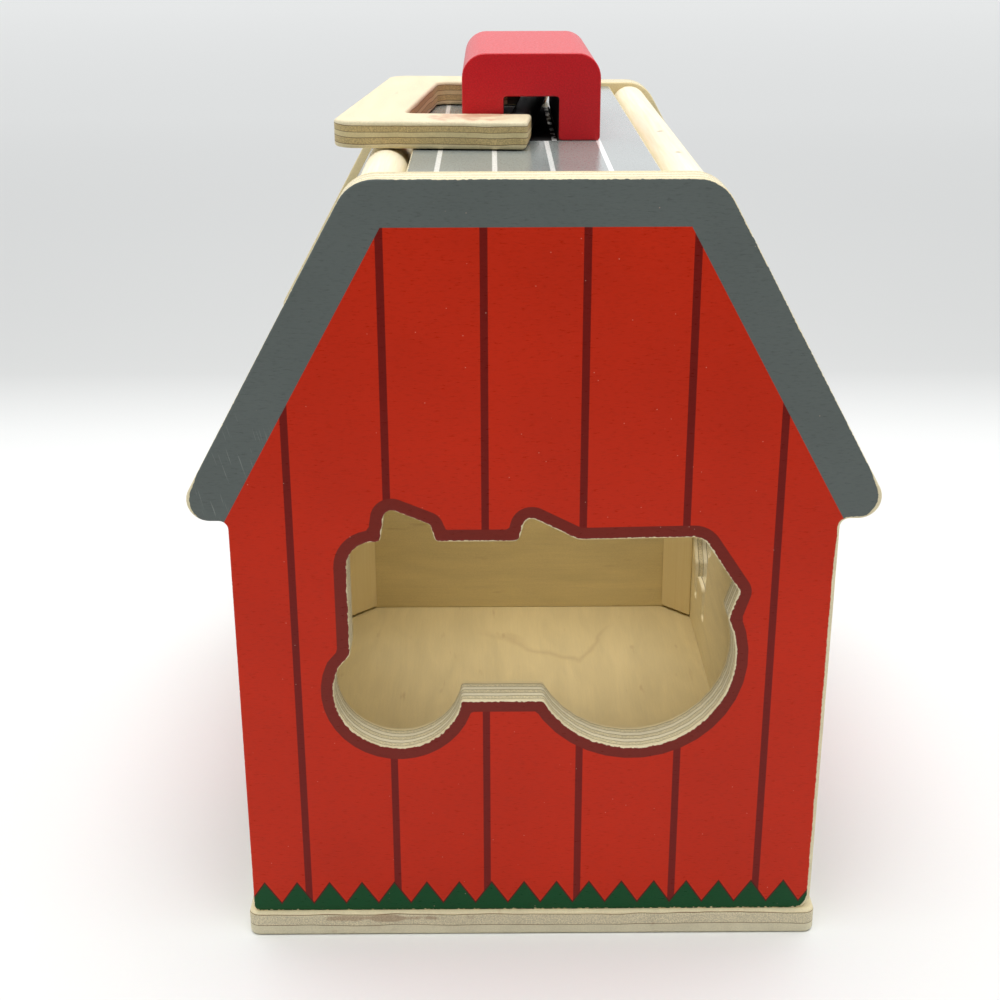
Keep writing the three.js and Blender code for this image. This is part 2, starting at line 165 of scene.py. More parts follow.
# Studio: a pale floor, a soft box above, a white room that is brighter overhead and behind the barn,
# and a black card in front that only reflections see, as a photographer's flag
studio = {
    "floorHalf": 8.0,  # metres, as all places and sizes here
    "floorShade": "#f0f1ee",
    # painted shade: how pale the paper shows at a distance behind the barn, darkest a little behind it
    "floorFade": ((0.26, 0.905), (0.38, 0.68), (0.49, 0.7), (0.68, 0.755), (0.97, 0.825), (1.36, 0.905),
                  (3.2, 1.0)),
    "paperFibre": 1.5,  # mm, as coarse as it needs to show
    "paperMottle": 0.02,
    "paperRelief": 0.02,  # mm
    "paperRoughness": 0.8,
    "boxPlace": (0.0, -0.24, 1.05),
    "boxTarget": (0, 0, 0.1),
    "boxSize": 0.75,
    "boxPower": 1.95,
    "boxSpread": 84,  # degrees
    "boxShade": "#ffffff",
    "innerPlace": (0.01, 0.045, 0.162),  # daylight that the thin walls and gaps let in
    "innerTarget": (0.01, 0.046, 0),
    "innerSize": 0.05,
    "innerPower": 0.022,
    "innerSpread": 72,
    "innerShade": "#fff2dc",
    "roomFront": 0.02,
    "roomBack": 0.98,
    "roomStep": (-0.5, 0.7),  # from front to back, the room brightens between these
    "roomAbove": 0.8,
    "roomSide": 0.35,
    "roomShade": "#fbfcff",
    "roomSeen": 0.88,  # the even strength of the room where the camera sees it past the floor
    "flagPlace": (0.0, -0.36, 0.4),
    "flagHalf": (0.9, 0.4),
    "flagShade": "#101010",
    "flagPile": 2.0,  # mm, as coarse as it needs to show
    "flagRelief": 0.1,  # mm
    "flagRoughness": 0.9,
}


# A square lamp that looks at its target and isn't seen itself
def addSoftBox(name, settings, kind):
    place, target = (Vector(settings[kind + key]) for key in ("Place", "Target"))
    light = bpy.data.lights.new(name, "AREA")
    light.shape, light.size, light.energy = "SQUARE", settings[kind + "Size"], settings[kind + "Power"]
    light.color = toLinear(settings[kind + "Shade"])[:3]
    light.spread = math.radians(settings[kind + "Spread"])
    holder = bpy.data.objects.new(name, light)
    holder.location = place
    holder.rotation_euler = (target - place).to_track_quat("-Z", "Y").to_euler()
    holder.visible_camera = False
    bpy.context.scene.collection.objects.link(holder)


# A flat card of the studio, which is no part of the object
def addCard(name, corners, material):
    mesh = bpy.data.meshes.new(name)
    mesh.from_pydata(corners, [], [(0, 1, 2, 3)])
    mesh.materials.append(material)
    card = bpy.data.objects.new(name, mesh)
    bpy.context.scene.collection.objects.link(card)
    card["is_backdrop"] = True
    return card


# Matt paper, rolled: its fibre breaks up the white a little, and it has hardly any gloss. In words:
# a painted shade darkens the paper with the distance behind the barn, as the stops say
def mattPaper(add, place, settings):
    fibre = add("TexNoise", {}, Vector=place, Scale=1 / settings["paperFibre"], Detail=3.0)
    multiply = {**ofColours, "blend_type": "MULTIPLY"}
    shade = add("Mix", multiply, settings["paperMottle"], toLinear(settings["floorShade"]),
                fibre.outputs["Color"])
    back = add("SeparateXYZ", {}, place).outputs["Y"]
    reach = settings["floorHalf"]
    share = add("MapRange", {}, back, 0.0, reach / mm, 0.0, 1.0)
    stops = [(y / reach, (level, level, level, 1)) for y, level in settings["floorFade"]]
    shade = add("Mix", multiply, 1.0, shade, add("ValToRGB", {"stops": stops}, share))
    return shade, settings["paperRoughness"], fibre, settings["paperRelief"], {}


# Black velvet, woven with a pile: it soaks up light, so the front of the barn stays deep red. In
# words: one shade, with noise for the pile
def blackVelvet(add, place, settings):
    pile = add("TexNoise", {}, Vector=place, Scale=1 / settings["flagPile"])
    return toLinear(settings["flagShade"]), settings["flagRoughness"], pile, settings["flagRelief"], {}


# The room's strength: a smooth step from front to back, plus the squares of the height overhead and
# of the reach sideways
def addRoom(settings):
    world = bpy.data.worlds.new("white_room")
    bpy.context.scene.world = world
    world.use_nodes = True
    world.node_tree.nodes.clear()
    add = partial(addNode, world.node_tree)
    direction = add("TexCoord", {}).outputs["Generated"]
    x, y, z = add("SeparateXYZ", {}, direction).outputs
    level = add("MapRange", smoothStep, y, *settings["roomStep"], settings["roomFront"], settings["roomBack"])
    height = add("Math", "MAXIMUM", z, 0.0)
    square = add("Math", "POWER", height, 2.0)
    strength = add("Math", "MULTIPLY_ADD", square, settings["roomAbove"], level)
    sideways = add("Math", "MULTIPLY", x, x)
    strength = add("Math", "MULTIPLY_ADD", sideways, settings["roomSide"], strength)
    seen = add("LightPath", {}).outputs["Is Camera Ray"]
    strength = add("Mix", {}, seen, strength, settings["roomSeen"])
    room = add("Background", {}, toLinear(settings["roomShade"]), strength)
    add("OutputWorld", {}, Surface=room.outputs["Background"])
    bpy.context.scene.view_settings.view_transform = "Standard"


reach = studio["floorHalf"]
addCard("paper_floor", [(-reach, -reach, 0), (reach, -reach, 0), (reach, reach, 0), (-reach, reach, 0)],
        makeMaterial("matt_paper_rolled", mattPaper, studio))
x, y, z = studio["flagPlace"]
wide, high = studio["flagHalf"]
flag = addCard("black_flag", [(x - wide, y, z - high), (x + wide, y, z - high), (x + wide, y, z + high),
                              (x - wide, y, z + high)],
               makeMaterial("black_velvet_card", blackVelvet, studio))
flag.visible_camera = flag.visible_diffuse = flag.visible_shadow = False
addSoftBox("top_box", studio, "box")
addSoftBox("inner_glow", studio, "inner")
addRoom(studio)
print("camera and studio ready")

# Birch plywood: rotary-cut veneers glued crosswise, so that a sawn edge shows pale long grain and
# darker end grain in turn, with thin brown glue lines
birch = {
    "face": "#eaddb8",
    "pale": "#eae1c4",
    "dark": "#ddd1ab",
    "glue": "#86714b",
    "fleck": "#9a7048",
    "inner": "#e4d4a7",  # the inner side, a little darker and yellower than the show face
    "sevenPlies": (0.12, 0.15, 0.15, 0.16, 0.15, 0.15, 0.12),
    "fivePlies": (0.17, 0.22, 0.2, 0.24, 0.17),
    "threePlies": (0.09, 0.47, 0.44),
    "glueLine": 0.16,  # mm, as coarse as it needs to show
    "endGrain": {"dark": 1.0, "glue": 0.6, "long": 0.25},  # how much of it each layer shows
    "waviness": 0.22,
    "waveLength": 14,
    "fibreWidth": 0.5,  # fibres and pores too are drawn as coarse as they need to show
    "fibreLength": 14.0,
    "fibreTone": (0.965, 1.025),
    "figureWidth": 9.0,
    "figureLength": 40.0,
    "figureTone": (0.93, 1.04),
    "poreSize": 0.3,
    "poreTone": (0.76, 1.17),
    "fleckShift": (3.1, 7.7, 0.4),
    "fleckFineness": 3.0,
    "fleckSpan": (0.68, 0.78),
    "fleckOpacity": 0.25,
    "roughness": (0.52, 0.68),
    "relief": 0.05,
}


# Colour stops across a board's thickness; the alpha of a stop says how much end grain it shows
def plyStops(shares, board):
    stops, start = [], 0.0
    line = birch["glueLine"] / board["thickness"]
    shades, endGrain = {**birch, **board}, birch["endGrain"]
    for i, share in enumerate(shares):
        kind = "face" if i == 0 else "inner" if i == len(shares) - 1 else "dark" if i % 2 else "pale"
        stops.append((start, toLinear(shades[kind], endGrain["dark" if kind == "dark" else "long"])))
        start += share
        if i + 1 < len(shares):
            stops.append((start - line, toLinear(birch["glue"], endGrain["glue"])))
    return stops


# Wood colour, roughness and relief. In words: the depth below the show face picks the ply, slow
# noise bends the glue lines, noise drawn out along the grain makes fibres, figure and brown flecks,
# and fine noise makes the pores of the end grain
def birchPlywood(add, place, board):
    along = add("VectorMath", "DOT_PRODUCT", place, board["outward"])
    depth = add("Math", "SUBTRACT", board["level"], along)
    wander = add("TexNoise", {}, Vector=place, Scale=1 / birch["waveLength"], Detail=2.0)
    bend = add("MapRange", {}, wander, *noiseSpan, -birch["waviness"], birch["waviness"])
    waved = add("Math", "ADD", depth, bend)
    share = add("Math", "DIVIDE", waved, board["thickness"])
    plies = add("ValToRGB", {"stops": plyStops(birch[board["plies"]], board)}, share)
    plies.color_ramp.interpolation = "CONSTANT"
    fibreScale = alongGrain(board["grain"], birch["fibreLength"], birch["fibreWidth"])
    figureScale = alongGrain(board["grain"], birch["figureLength"], birch["figureWidth"])
    drawn = add("Mapping", {}, Vector=place, Scale=fibreScale)
    fibre = add("TexNoise", {}, Vector=drawn, Scale=1.0, Detail=3.0, Roughness=0.6)
    drawn = add("Mapping", {}, Vector=place, Scale=figureScale)
    figure = add("TexNoise", {}, Vector=drawn, Scale=1.0, Detail=4.0, Distortion=1.2)
    pores = add("TexNoise", {}, Vector=place, Scale=1 / birch["poreSize"], Detail=2.0)
    fibreTone = add("MapRange", {}, fibre, *noiseSpan, *birch["fibreTone"])
    figureTone = add("MapRange", {}, figure, *noiseSpan, *birch["figureTone"])
    poreTone = add("MapRange", {}, pores, *plainSpan, *birch["poreTone"])
    poreShare = add("Mix", {}, plies.outputs["Alpha"], 1.0, poreTone)
    tone = fibreTone
    for factor in (figureTone, poreShare, board.get("tone", 1.0)):
        tone = add("Math", "MULTIPLY", tone, factor)
    toned = add("VectorMath", "SCALE", plies.outputs["Color"], Scale=tone)
    drawn = add("Mapping", {}, Vector=place, Location=birch["fleckShift"], Scale=figureScale)
    fleck = add("TexNoise", {}, Vector=drawn, Scale=birch["fleckFineness"], Detail=2.0)
    fleckShare = add("MapRange", {}, fleck, *birch["fleckSpan"], 0.0, birch["fleckOpacity"])
    shade = add("Mix", ofColours, fleckShare, toned, toLinear(birch["fleck"]))
    roughness = add("MapRange", {}, fibre, *noiseSpan, *birch["roughness"])
    relief = add("Mix", {}, plies.outputs["Alpha"], fibre, pores)
    return {"shade": shade, "roughness": roughness, "relief": relief, "depth": depth}


# Printed paint: flat spot colours on sanded birch under satin varnish. The veneer's grain shows
# through as fine ridges, and the sawn edges stay bare behind a ragged border
paint = {
    "red": "#c82704",
    "maroon": "#77130a",
    "band": "#7a2318",
    "trim": "#636a67",
    "green": "#004a22",
    "roof": "#929894",
    "greenLine": "#4d170e",
    "white": "#f0f0ea",
    "dust": "#f0c9b4",
    "dustOpacity": 0.45,
    "scratch": "#b9bdb8",
    "scratchOpacity": 0.25,
    "slatSpacing": 20.8,  # mm
    "slatWidth": 1.6,
    "slatAstray": (31.2, 1.2),  # one slat of the front was printed a little off
    "bandWidth": 2.8,
    "trimTop": 9.55,
    "trimSlope": 9.7,
    "bladeHalf": 3.774,
    "bladeShift": 1.856,
    "bladeTop": 7.4,
    "bladeFoot": 1.75,
    "bladeLine": 0.55,
    "seamSpacing": 11.95,
    "seamShift": 8.05,
    "seamWidth": 1.05,
    "blur": 0.06,
    "ridgeWidth": 0.33,  # as coarse as they need to show
    "ridgeLength": 1.5,
    "ridgeHeight": 0.7,  # against the wood's own relief
    "filmHeight": 1.2,
    "strokeSpan": (0.3, 0.5),  # only the ridge noise's lower values make dark strokes
    "strokeTone": (0.9, 1.01),
    "cloudSize": 30,
    "cloudTone": (0.95, 1.05),
    "glossSpread": (-0.05, 0.07),
    "dustSpacing": 3.2,
    "dustRadius": 0.13,
    "scratchWidth": 0.3,
    "scratchLength": 7.0,
    "scratchTilt": 14,  # degrees from upright
    "scratchSpan": (0.66, 0.73),  # only the noise's peaks
    "scuffPlace": (-64.0, -88.0, 114.0),
    "scuffReach": 17.0,
    "chipSize": 0.8,
    "chipReach": 0.1,
    "windowChip": 0.07,  # the saw tears the print more round the windows
    "windowSpan": (0.8, 1.6),  # how far from a window that fades
    "windowRim": 0.12,
    "footChip": 0.36,  # and along the foot
    "footSpan": (0.4, 0.9),
    "leftWrap": 0.16,  # on the left the paint runs over the edge
    "leftSpan": (-30.0, -10.0),
    "rightRim": 0.7,  # the right edge was trimmed after printing
    "rightSpan": (61.0, 64.5),
    "rightHeight": (90.0, 112.0),
    "tipRim": 0.7,  # and the eave tips are worn bare
    "tipSpan": (70.4, 72.8),
    "wearSize": 9.0,
    "wearReach": 0.06,
    "borderSpan": (-0.24, -0.14),  # how far past the face's edge the paint ends
}
roofPitch = math.radians(60.9)
slopeWay = (math.sin(roofPitch), 0, math.cos(roofPitch))


# Where a printed edge starts and ends, as it has a little blur
def edgeSpan(edge):
    return edge - paint["blur"], edge + paint["blur"]


# The scuffed patch of the trim: thin tilted scratches where drawn-out noise peaks near one place
def scuffMask(add, place, trimMask):
    turned = add("Mapping", {}, Vector=place, Rotation=(0, math.radians(paint["scratchTilt"]), 0))
    scale = alongGrain(2, paint["scratchLength"], paint["scratchWidth"])
    drawn = add("Mapping", {}, Vector=turned, Scale=scale)
    scratch = add("TexNoise", {}, Vector=drawn, Scale=1.0, Detail=1.0, Distortion=0.5)
    line = add("MapRange", {}, scratch, *paint["scratchSpan"], 0.0, 1.0)
    gap = add("VectorMath", "DISTANCE", place, paint["scuffPlace"])
    reach = paint["scuffReach"]
    share = add("MapRange", smoothStep, gap, reach / 2, reach, 1.0, 0.0)
    return add("Math", "MULTIPLY", add("Math", "MULTIPLY", line, share), trimMask)


# The barn's boards. In words: a dark slat line where the distance across, folded over the slat
# spacing, comes near its largest value, with one slat of the front moved aside, grass where the
# height lies under a folded zigzag, a dark band close to a window, the roof trim where the reach up
# the slope or the height is great, and scratches on the trim
def plankPrint(add, place, board):
    parts = add("SeparateXYZ", {}, place)
    across, height = parts.outputs[board["across"]], parts.outputs["Z"]
    half = paint["slatSpacing"] / 2
    home, astray = paint["slatAstray"] if board["outward"][1] < 0 else (0.0, 0.0)
    near = add("Math", "COMPARE", across, home, half / 2)
    planks = add("Math", "MULTIPLY_ADD", near, -astray, across)
    slat = add("Math", "PINGPONG", planks, half)
    slatMask = add("MapRange", {}, slat, *edgeSpan(half - paint["slatWidth"] / 2), 0.0, 1.0)
    shade = overprint(add, toLinear(paint["red"]), slatMask, paint["maroon"])
    shifted = add("Math", "ADD", across, paint["bladeShift"])
    fold = add("Math", "PINGPONG", shifted, paint["bladeHalf"])
    slope = (paint["bladeTop"] - paint["bladeFoot"]) / paint["bladeHalf"]
    blade = add("Math", "MULTIPLY_ADD", fold, slope, height)
    for reach, name in ((paint["bladeLine"], "greenLine"), (0.0, "green")):
        top = board["foot"] + paint["bladeTop"] + reach
        mask = add("MapRange", {}, blade, *edgeSpan(top), 1.0, 0.0)
        shade = overprint(add, shade, mask, paint[name])
    window = add("Attribute", {"attribute_name": "windowDistance"}).outputs["Fac"]
    bandMask = add("MapRange", {}, window, *edgeSpan(paint["bandWidth"]), 1.0, 0.0)
    shade = overprint(add, shade, bandMask, paint["band"])
    if "slopeReach" not in board:
        return shade, 0.0
    mirrored = add("VectorMath", "ABSOLUTE", place)
    out = add("VectorMath", "DOT_PRODUCT", mirrored, slopeWay)
    slopeMask = add("MapRange", {}, out, *edgeSpan(board["slopeReach"] - paint["trimSlope"]), 0.0, 1.0)
    topMask = add("MapRange", {}, height, *edgeSpan(board["top"] - paint["trimTop"]), 0.0, 1.0)
    trimMask = add("Math", "MAXIMUM", slopeMask, topMask)
    shade = overprint(add, shade, trimMask, paint["trim"])
    mask = scuffMask(add, place, trimMask)
    return overprint(add, shade, mask, paint["scratch"], paint["scratchOpacity"]), 0.0


# The tunnel under the handle's block: painted shade, near black and dull, where no light gets in
tunnel = {
    "shade": "#120f0e",
    "middle": 0.45,  # mm
    "half": 6.35,
    "reach": 30.75,
    "top": 185.2,
    "gloss": 0.9,
    "seamShift": 1.9,
    "seamPatch": 2.6,
    "seamSpan": (0.44, 0.56),  # so about half of the seam is rubbed away
}


# Mask that is 1 in the tunnel, where the place lies within its width, length and height
def tunnelMask(add, place):
    x, y, z = add("SeparateXYZ", {}, place).outputs
    wide = add("Math", "COMPARE", x, tunnel["middle"], tunnel["half"])
    long = add("Math", "COMPARE", y, 0.0, tunnel["reach"])
    low = add("Math", "LESS_THAN", z, tunnel["top"])
    return add("Math", "MULTIPLY", add("Math", "MULTIPLY", wide, long), low)


# The roof's boards: white seams along the ridge, wherever the distance across folds near its end. In
# the tunnel the panel is painted near black as painted shade, the seam lies a little to the side, and
# noise has rubbed parts of it away
def roofPrint(add, place, board):
    across = add("VectorMath", "DOT_PRODUCT", place, board["down"])
    tunnelShaded = tunnelMask(add, place)
    across = add("Math", "MULTIPLY_ADD", tunnelShaded, -tunnel["seamShift"], across)
    shifted = add("Math", "ADD", across, board["seamShift"])
    fold = add("Math", "PINGPONG", shifted, paint["seamSpacing"] / 2)
    seam = add("MapRange", {}, fold, *edgeSpan(paint["seamWidth"] / 2), 1.0, 0.0)
    patchy = add("TexNoise", {}, Vector=place, Scale=1 / tunnel["seamPatch"], Detail=3.0)
    lost = add("MapRange", {}, patchy, *tunnel["seamSpan"], 0.0, 1.0)
    lost = add("Math", "MULTIPLY", lost, tunnelShaded)
    seam = add("Math", {"operation": "SUBTRACT", "use_clamp": True}, seam, lost)
    # painted shade: the panel is near black in the tunnel, where no light gets in
    shade = overprint(add, toLinear(paint["roof"]), tunnelShaded, tunnel["shade"])
    return overprint(add, shade, seam, paint["white"]), add("Math", "SUBTRACT", tunnelShaded, seam)


# How far the print's border moves outwards. In words: fine noise chips it, more round windows and
# along the foot, coarse noise wears it, it draws back round windows, and on a gable also at the
# trimmed right edge and the eave tips, while it runs over the edge on the left
def borderShift(add, place, board):
    across, _, height = add("SeparateXYZ", {}, place).outputs
    chips = add("TexNoise", {}, Vector=place, Scale=1 / paint["chipSize"], Detail=3.0)
    chipNoise = add("MapRange", {}, chips, *noiseSpan, -1.0, 1.0)
    window = add("Attribute", {"attribute_name": "windowDistance"}).outputs["Fac"]
    nearWindow = add("MapRange", {}, window, *paint["windowSpan"], 1.0, 0.0)
    chipReach = add("Math", "MULTIPLY_ADD", nearWindow, paint["windowChip"], paint["chipReach"])
    if "foot" in board:
        start, end = (board["foot"] + edge for edge in paint["footSpan"])
        nearFoot = add("MapRange", {}, height, start, end, paint["footChip"], 0.0)
        chipReach = add("Math", "ADD", chipReach, nearFoot)
    rim = add("Math", "MULTIPLY", nearWindow, -paint["windowRim"])
    if "slopeReach" in board:
        right = add("MapRange", {}, across, *paint["rightSpan"], 0.0, -paint["rightRim"])
        low = add("MapRange", {}, height, *paint["rightHeight"], 1.0, 0.0)
        rim = add("Math", "MULTIPLY_ADD", right, low, rim)
        mirrored = add("Math", "ABSOLUTE", across)
        tip = add("MapRange", {}, mirrored, *paint["tipSpan"], 0.0, -paint["tipRim"])
        rim = add("Math", "ADD", rim, tip)
        wrap = add("MapRange", {}, across, *paint["leftSpan"], paint["leftWrap"], 0.0)
        rim = add("Math", "ADD", rim, wrap)
    wear = add("TexNoise", {}, Vector=place, Scale=1 / paint["wearSize"], Detail=2.0)
    wearShift = add("MapRange", {}, wear, *plainSpan, -paint["wearReach"], paint["wearReach"])
    shift = add("Math", "MULTIPLY_ADD", chipNoise, chipReach, wearShift)
    return add("Math", "ADD", shift, rim)


# Print over birch: flat, even colour with a low sheen, that breaks off raggedly at a sawn edge. In
# words: the paint lies on the show face where the distance from the sawn edge, moved about by the
# border's shift, is great enough; short dark strokes of the grain, slow clouds and dust cross it
def printedBirch(add, place, board, pattern):
    wood = birchPlywood(add, place, board)
    shade, tunnelShaded = pattern(add, place, board)
    ridgeScale = alongGrain(board["grain"], paint["ridgeLength"], paint["ridgeWidth"])
    drawn = add("Mapping", {}, Vector=place, Scale=ridgeScale)
    ridges = add("TexNoise", {}, Vector=drawn, Scale=1.0, Detail=2.0, Roughness=0.6)
    stroke = add("MapRange", {}, ridges, *paint["strokeSpan"], *paint["strokeTone"])
    cloud = add("TexNoise", {}, Vector=place, Scale=1 / paint["cloudSize"], Detail=3.0)
    cloudTone = add("MapRange", {}, cloud, *noiseSpan, *paint["cloudTone"])
    tone = add("Math", "MULTIPLY", stroke, cloudTone)
    shade = add("VectorMath", "SCALE", shade, Scale=tone)
    dust = add("TexVoronoi", {}, Vector=place, Scale=1 / paint["dustSpacing"])
    dustEdge = paint["dustRadius"] / paint["dustSpacing"]
    dustMask = add("MapRange", {}, dust, dustEdge / 2, dustEdge, 1.0, 0.0)
    shade = overprint(add, shade, dustMask, paint["dust"], paint["dustOpacity"])
    border = add("Attribute", {"attribute_name": "edgeDistance"}).outputs["Fac"]
    moved = add("Math", "ADD", border, borderShift(add, place, board))
    inside = add("MapRange", {}, moved, *paint["borderSpan"], 0.0, 1.0)
    front = add("Math", "LESS_THAN", wood["depth"], board["thickness"] / 2)
    mask = add("Math", "MULTIPLY", inside, front)
    shade = add("Mix", ofColours, mask, wood["shade"], shade)
    gloss = [board["gloss"] + spread for spread in paint["glossSpread"]]
    sheen = add("MapRange", {}, ridges, *noiseSpan, *gloss)
    sheen = add("Mix", {}, tunnelShaded, sheen, tunnel["gloss"])
    roughness = add("Mix", {}, mask, wood["roughness"], sheen)
    film = add("Math", "MULTIPLY_ADD", mask, paint["filmHeight"], wood["relief"])
    softened = add("Math", "MULTIPLY_ADD", ridges, paint["ridgeHeight"], paint["filmHeight"])
    relief = add("Mix", {}, mask, film, softened)
    return shade, roughness, relief, birch["relief"], board["finish"]


# How far a node reaches in a direction, in millimetres
def reachOf(nodeName, outward):
    corners = np.array([v.co for v in nodes[nodeName].data.vertices]) / mm
    return float((corners @ np.array(outward)).max())


# Facts of a board for its material: its settings, where its show face lies and which way it looks
def boardFacts(nodeName, outward, settings, grain, **more):
    return {**settings, "outward": outward, "level": reachOf(nodeName, outward), "grain": grain, **more}


# Normals at the points: those of the triangles round each, weighed by their areas
def weightedNormals(points, triangles):
    a, b, c = (points[triangles[:, i]] for i in range(3))
    areas = np.cross(b - a, c - a)
    normals = np.zeros_like(points)
    for i in range(3):
        np.add.at(normals, triangles[:, i], areas)
    return normals / np.linalg.norm(normals, axis=1, keepdims=True)


# Puts a finished surface, in millimetres, into a mesh object that rides on a body
def addPiece(name, surface, material, bodyName, nodeName):
    points, triangles, measures = surface
    mesh = bpy.data.meshes.new(name)
    mesh.from_pydata((points * mm).tolist(), [], triangles.tolist())
    mesh.polygons.foreach_set("use_smooth", np.ones(len(mesh.polygons), bool))
    mesh.materials.append(material)
    mesh.normals_split_custom_set_from_vertices(weightedNormals(points, triangles).tolist())
    for key, values in measures.items():
        mesh.attributes.new(key, "FLOAT", "POINT").data.foreach_set("value", values.astype(np.float32))
    piece = bpy.data.objects.new(name, mesh)
    bpy.context.scene.collection.objects.link(piece)
    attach(piece, bodyName)
    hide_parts(nodeName)


# How finely boards are drawn
boards = {
    "spacing": 3.5,  # mm between the points along an edge
    "bands": (0.5, 1.0, 1.8, 2.6, 3.0, 4.2),  # extra rows of points, so that the print has true distances
    "bandSpacing": 1.6,
    "bandSlack": 0.03,
    "grid": 6.0,
    "roundSteps": 4,
    "sharpTurn": 25,  # degrees; only sharper corners are rounded
    "cornerPoints": 6,
    "cornerShare": 0.4,  # of an edge that a corner may take up at most
    "risenCorners": 1.5,  # a rise lifts what lies within so many corners of the top
    "turnedBack": -0.9,  # cosine of the turn at a spur
    "unfoldRounds": 30,
    "unfoldStep": 0.85,
    "leastLeft": 0.1,  # how much of its length an edge keeps when it moves inwards
    "holeSides": 28,
    "screwHole": 1.7,
    "holeWidest": 4.25,  # a wider ring is a window or the outline
    "countersink": ((0.15, 0), (0, 0.15), (0, 3.6), (0.1, 3.8), (1.45, 5.65), (1.5, 5.75), (1.5, 5.85),
                    (1.65, 6)),  # insets and depths
    "pocketWidest": 8.0,
    "pocketSpacing": 0.5,
    "weld": 1e-6,  # nearer points are one
    "sameSpot": 1e-5,
    "farAway": 99.0,  # a board without windows has none near
}


# Rings of points round a flat face of a CAD board, with the wood on their left seen from outside
def faceRings(nodeName, outward):
    work = bmesh.new()
    work.from_mesh(nodes[nodeName].data)
    bmesh.ops.remove_doubles(work, verts=work.verts, dist=boards["weld"])
    away = Vector(outward)
    level = max(v.co @ away for v in work.verts)
    flat = [f for f in work.faces if all(level - v.co @ away < boards["sameSpot"] for v in f.verts)]
    follow = {}
    for face in flat:
        for corner in face.loops:
            if not any(other in flat for other in corner.edge.link_faces if other is not face):
                follow[corner.vert] = corner.link_loop_next.vert
    rings = []
    while follow:
        vert = next(iter(follow))
        ring = []
        while vert in follow:
            ring.append(vert.co[:])
            vert = follow.pop(vert)
        rings.append(np.array(ring) / mm)
    work.free()
    return rings


# Direction and length of the edge that starts at each point of a ring
def edgeDirections(ring):
    ahead = np.roll(ring, -1, 0) - ring
    length = np.linalg.norm(ahead, axis=1, keepdims=True)
    return ahead / length, length


# Rounds each sharp corner with a parabola that starts and ends a little before it. A spur, where the
# ring turns right back, is dropped first
def easeCorners(ring, reach):
    ahead, _ = edgeDirections(ring)
    ring = ring[(ahead * np.roll(ahead, 1, 0)).sum(1) > boards["turnedBack"]]
    ahead, length = edgeDirections(ring)
    behind, lengthBehind = np.roll(ahead, 1, 0), np.roll(length, 1, 0)
    sharp = (ahead * behind).sum(1, keepdims=True) < math.cos(math.radians(boards["sharpTurn"]))
    cut = np.where(sharp, np.minimum(reach, boards["cornerShare"] * np.minimum(length, lengthBehind)), 0)
    start, end = ring - behind * cut, ring + ahead * cut
    t = np.linspace(0, 1, boards["cornerPoints"])[None, :, None]
    curve = (1 - t) ** 2 * start[:, None] + 2 * t * (1 - t) * ring[:, None] + t ** 2 * end[:, None]
    points = curve.reshape(-1, 2)
    return points[np.linalg.norm(points - np.roll(points, 1, 0), axis=1) > boards["sameSpot"]]


# Adds points so that no stretch of a ring is longer than the spacing
def refineRing(ring, spacing):
    ahead, length = edgeDirections(ring)
    counts = np.maximum(1, np.ceil(length[:, 0] / spacing)).astype(int)
    which = np.repeat(np.arange(len(ring)), counts)
    step = (np.arange(counts.sum()) - np.repeat(np.cumsum(counts) - counts, counts)) / counts[which]
    return ring[which] + ahead[which] * length[which] * step[:, None]


# Sideways direction at each point of a ring, towards the wood: it halves the corner there
def mitres(ring):
    ahead, _ = edgeDirections(ring)
    left = np.stack([-ahead[:, 1], ahead[:, 0]], 1)
    before = np.roll(left, 1, 0)
    return (left + before) / (1 + (left * before).sum(1, keepdims=True))


# The same, but shorter where a tight bend would otherwise fold over when it moves by the reach
def unfoldedMitres(ring, reach):
    side, stretch = mitres(ring), np.roll(ring, -1, 0) - ring
    for _ in range(boards["unfoldRounds"]):
        moved = ring + reach * side
        along = ((np.roll(moved, -1, 0) - moved) * stretch).sum(1)
        folded = along < boards["leastLeft"] * (stretch ** 2).sum(1)
        side[folded | np.roll(folded, 1)] *= boards["unfoldStep"]
    return side


# Distance from each point to the nearest place on any ring's edges
def ringDistance(points, rings):
    a = np.concatenate(rings)
    ab = np.concatenate([np.roll(ring, -1, 0) for ring in rings]) - a
    t = ((points[:, None] - a) * ab).sum(2) / (ab ** 2).sum(1)
    nearest = a + np.clip(t, 0, 1)[..., None] * ab
    return np.linalg.norm(points[:, None] - nearest, axis=2).min(1)


# A point is inside if a level line from it crosses the rings an odd number of times
def insideRings(points, rings):
    a = np.concatenate(rings)
    b = np.concatenate([np.roll(ring, -1, 0) for ring in rings])
    x, y = points[:, :1], points[:, 1:]
    rise = np.where(b[:, 1] == a[:, 1], 1, b[:, 1] - a[:, 1])
    crossing = a[:, 0] + (y - a[:, 1]) * (b[:, 0] - a[:, 0]) / rise
    return (((a[:, 1] > y) != (b[:, 1] > y)) & (x < crossing)).sum(1) % 2 == 1


# Points inside a printed face: rows beside its edges at the bands' distances, and a grid further in
def loosePoints(rings):
    fineRings = [refineRing(ring, boards["bandSpacing"]) for ring in rings]
    parts = []
    for band in boards["bands"]:
        row = np.concatenate([fine + band * mitres(fine) for fine in fineRings])
        parts.append(row[ringDistance(row, rings) > band - boards["bandSlack"]])
    low, high = rings[0].min(0), rings[0].max(0)
    grid = np.meshgrid(*(np.arange(a, b, boards["grid"]) for a, b in zip(low, high)))
    grid = np.stack(grid, -1).reshape(-1, 2)
    parts.append(grid[ringDistance(grid, rings) > boards["bands"][-1] + boards["grid"] / 3])
    loose = np.concatenate(parts)
    return loose[insideRings(loose, rings)]


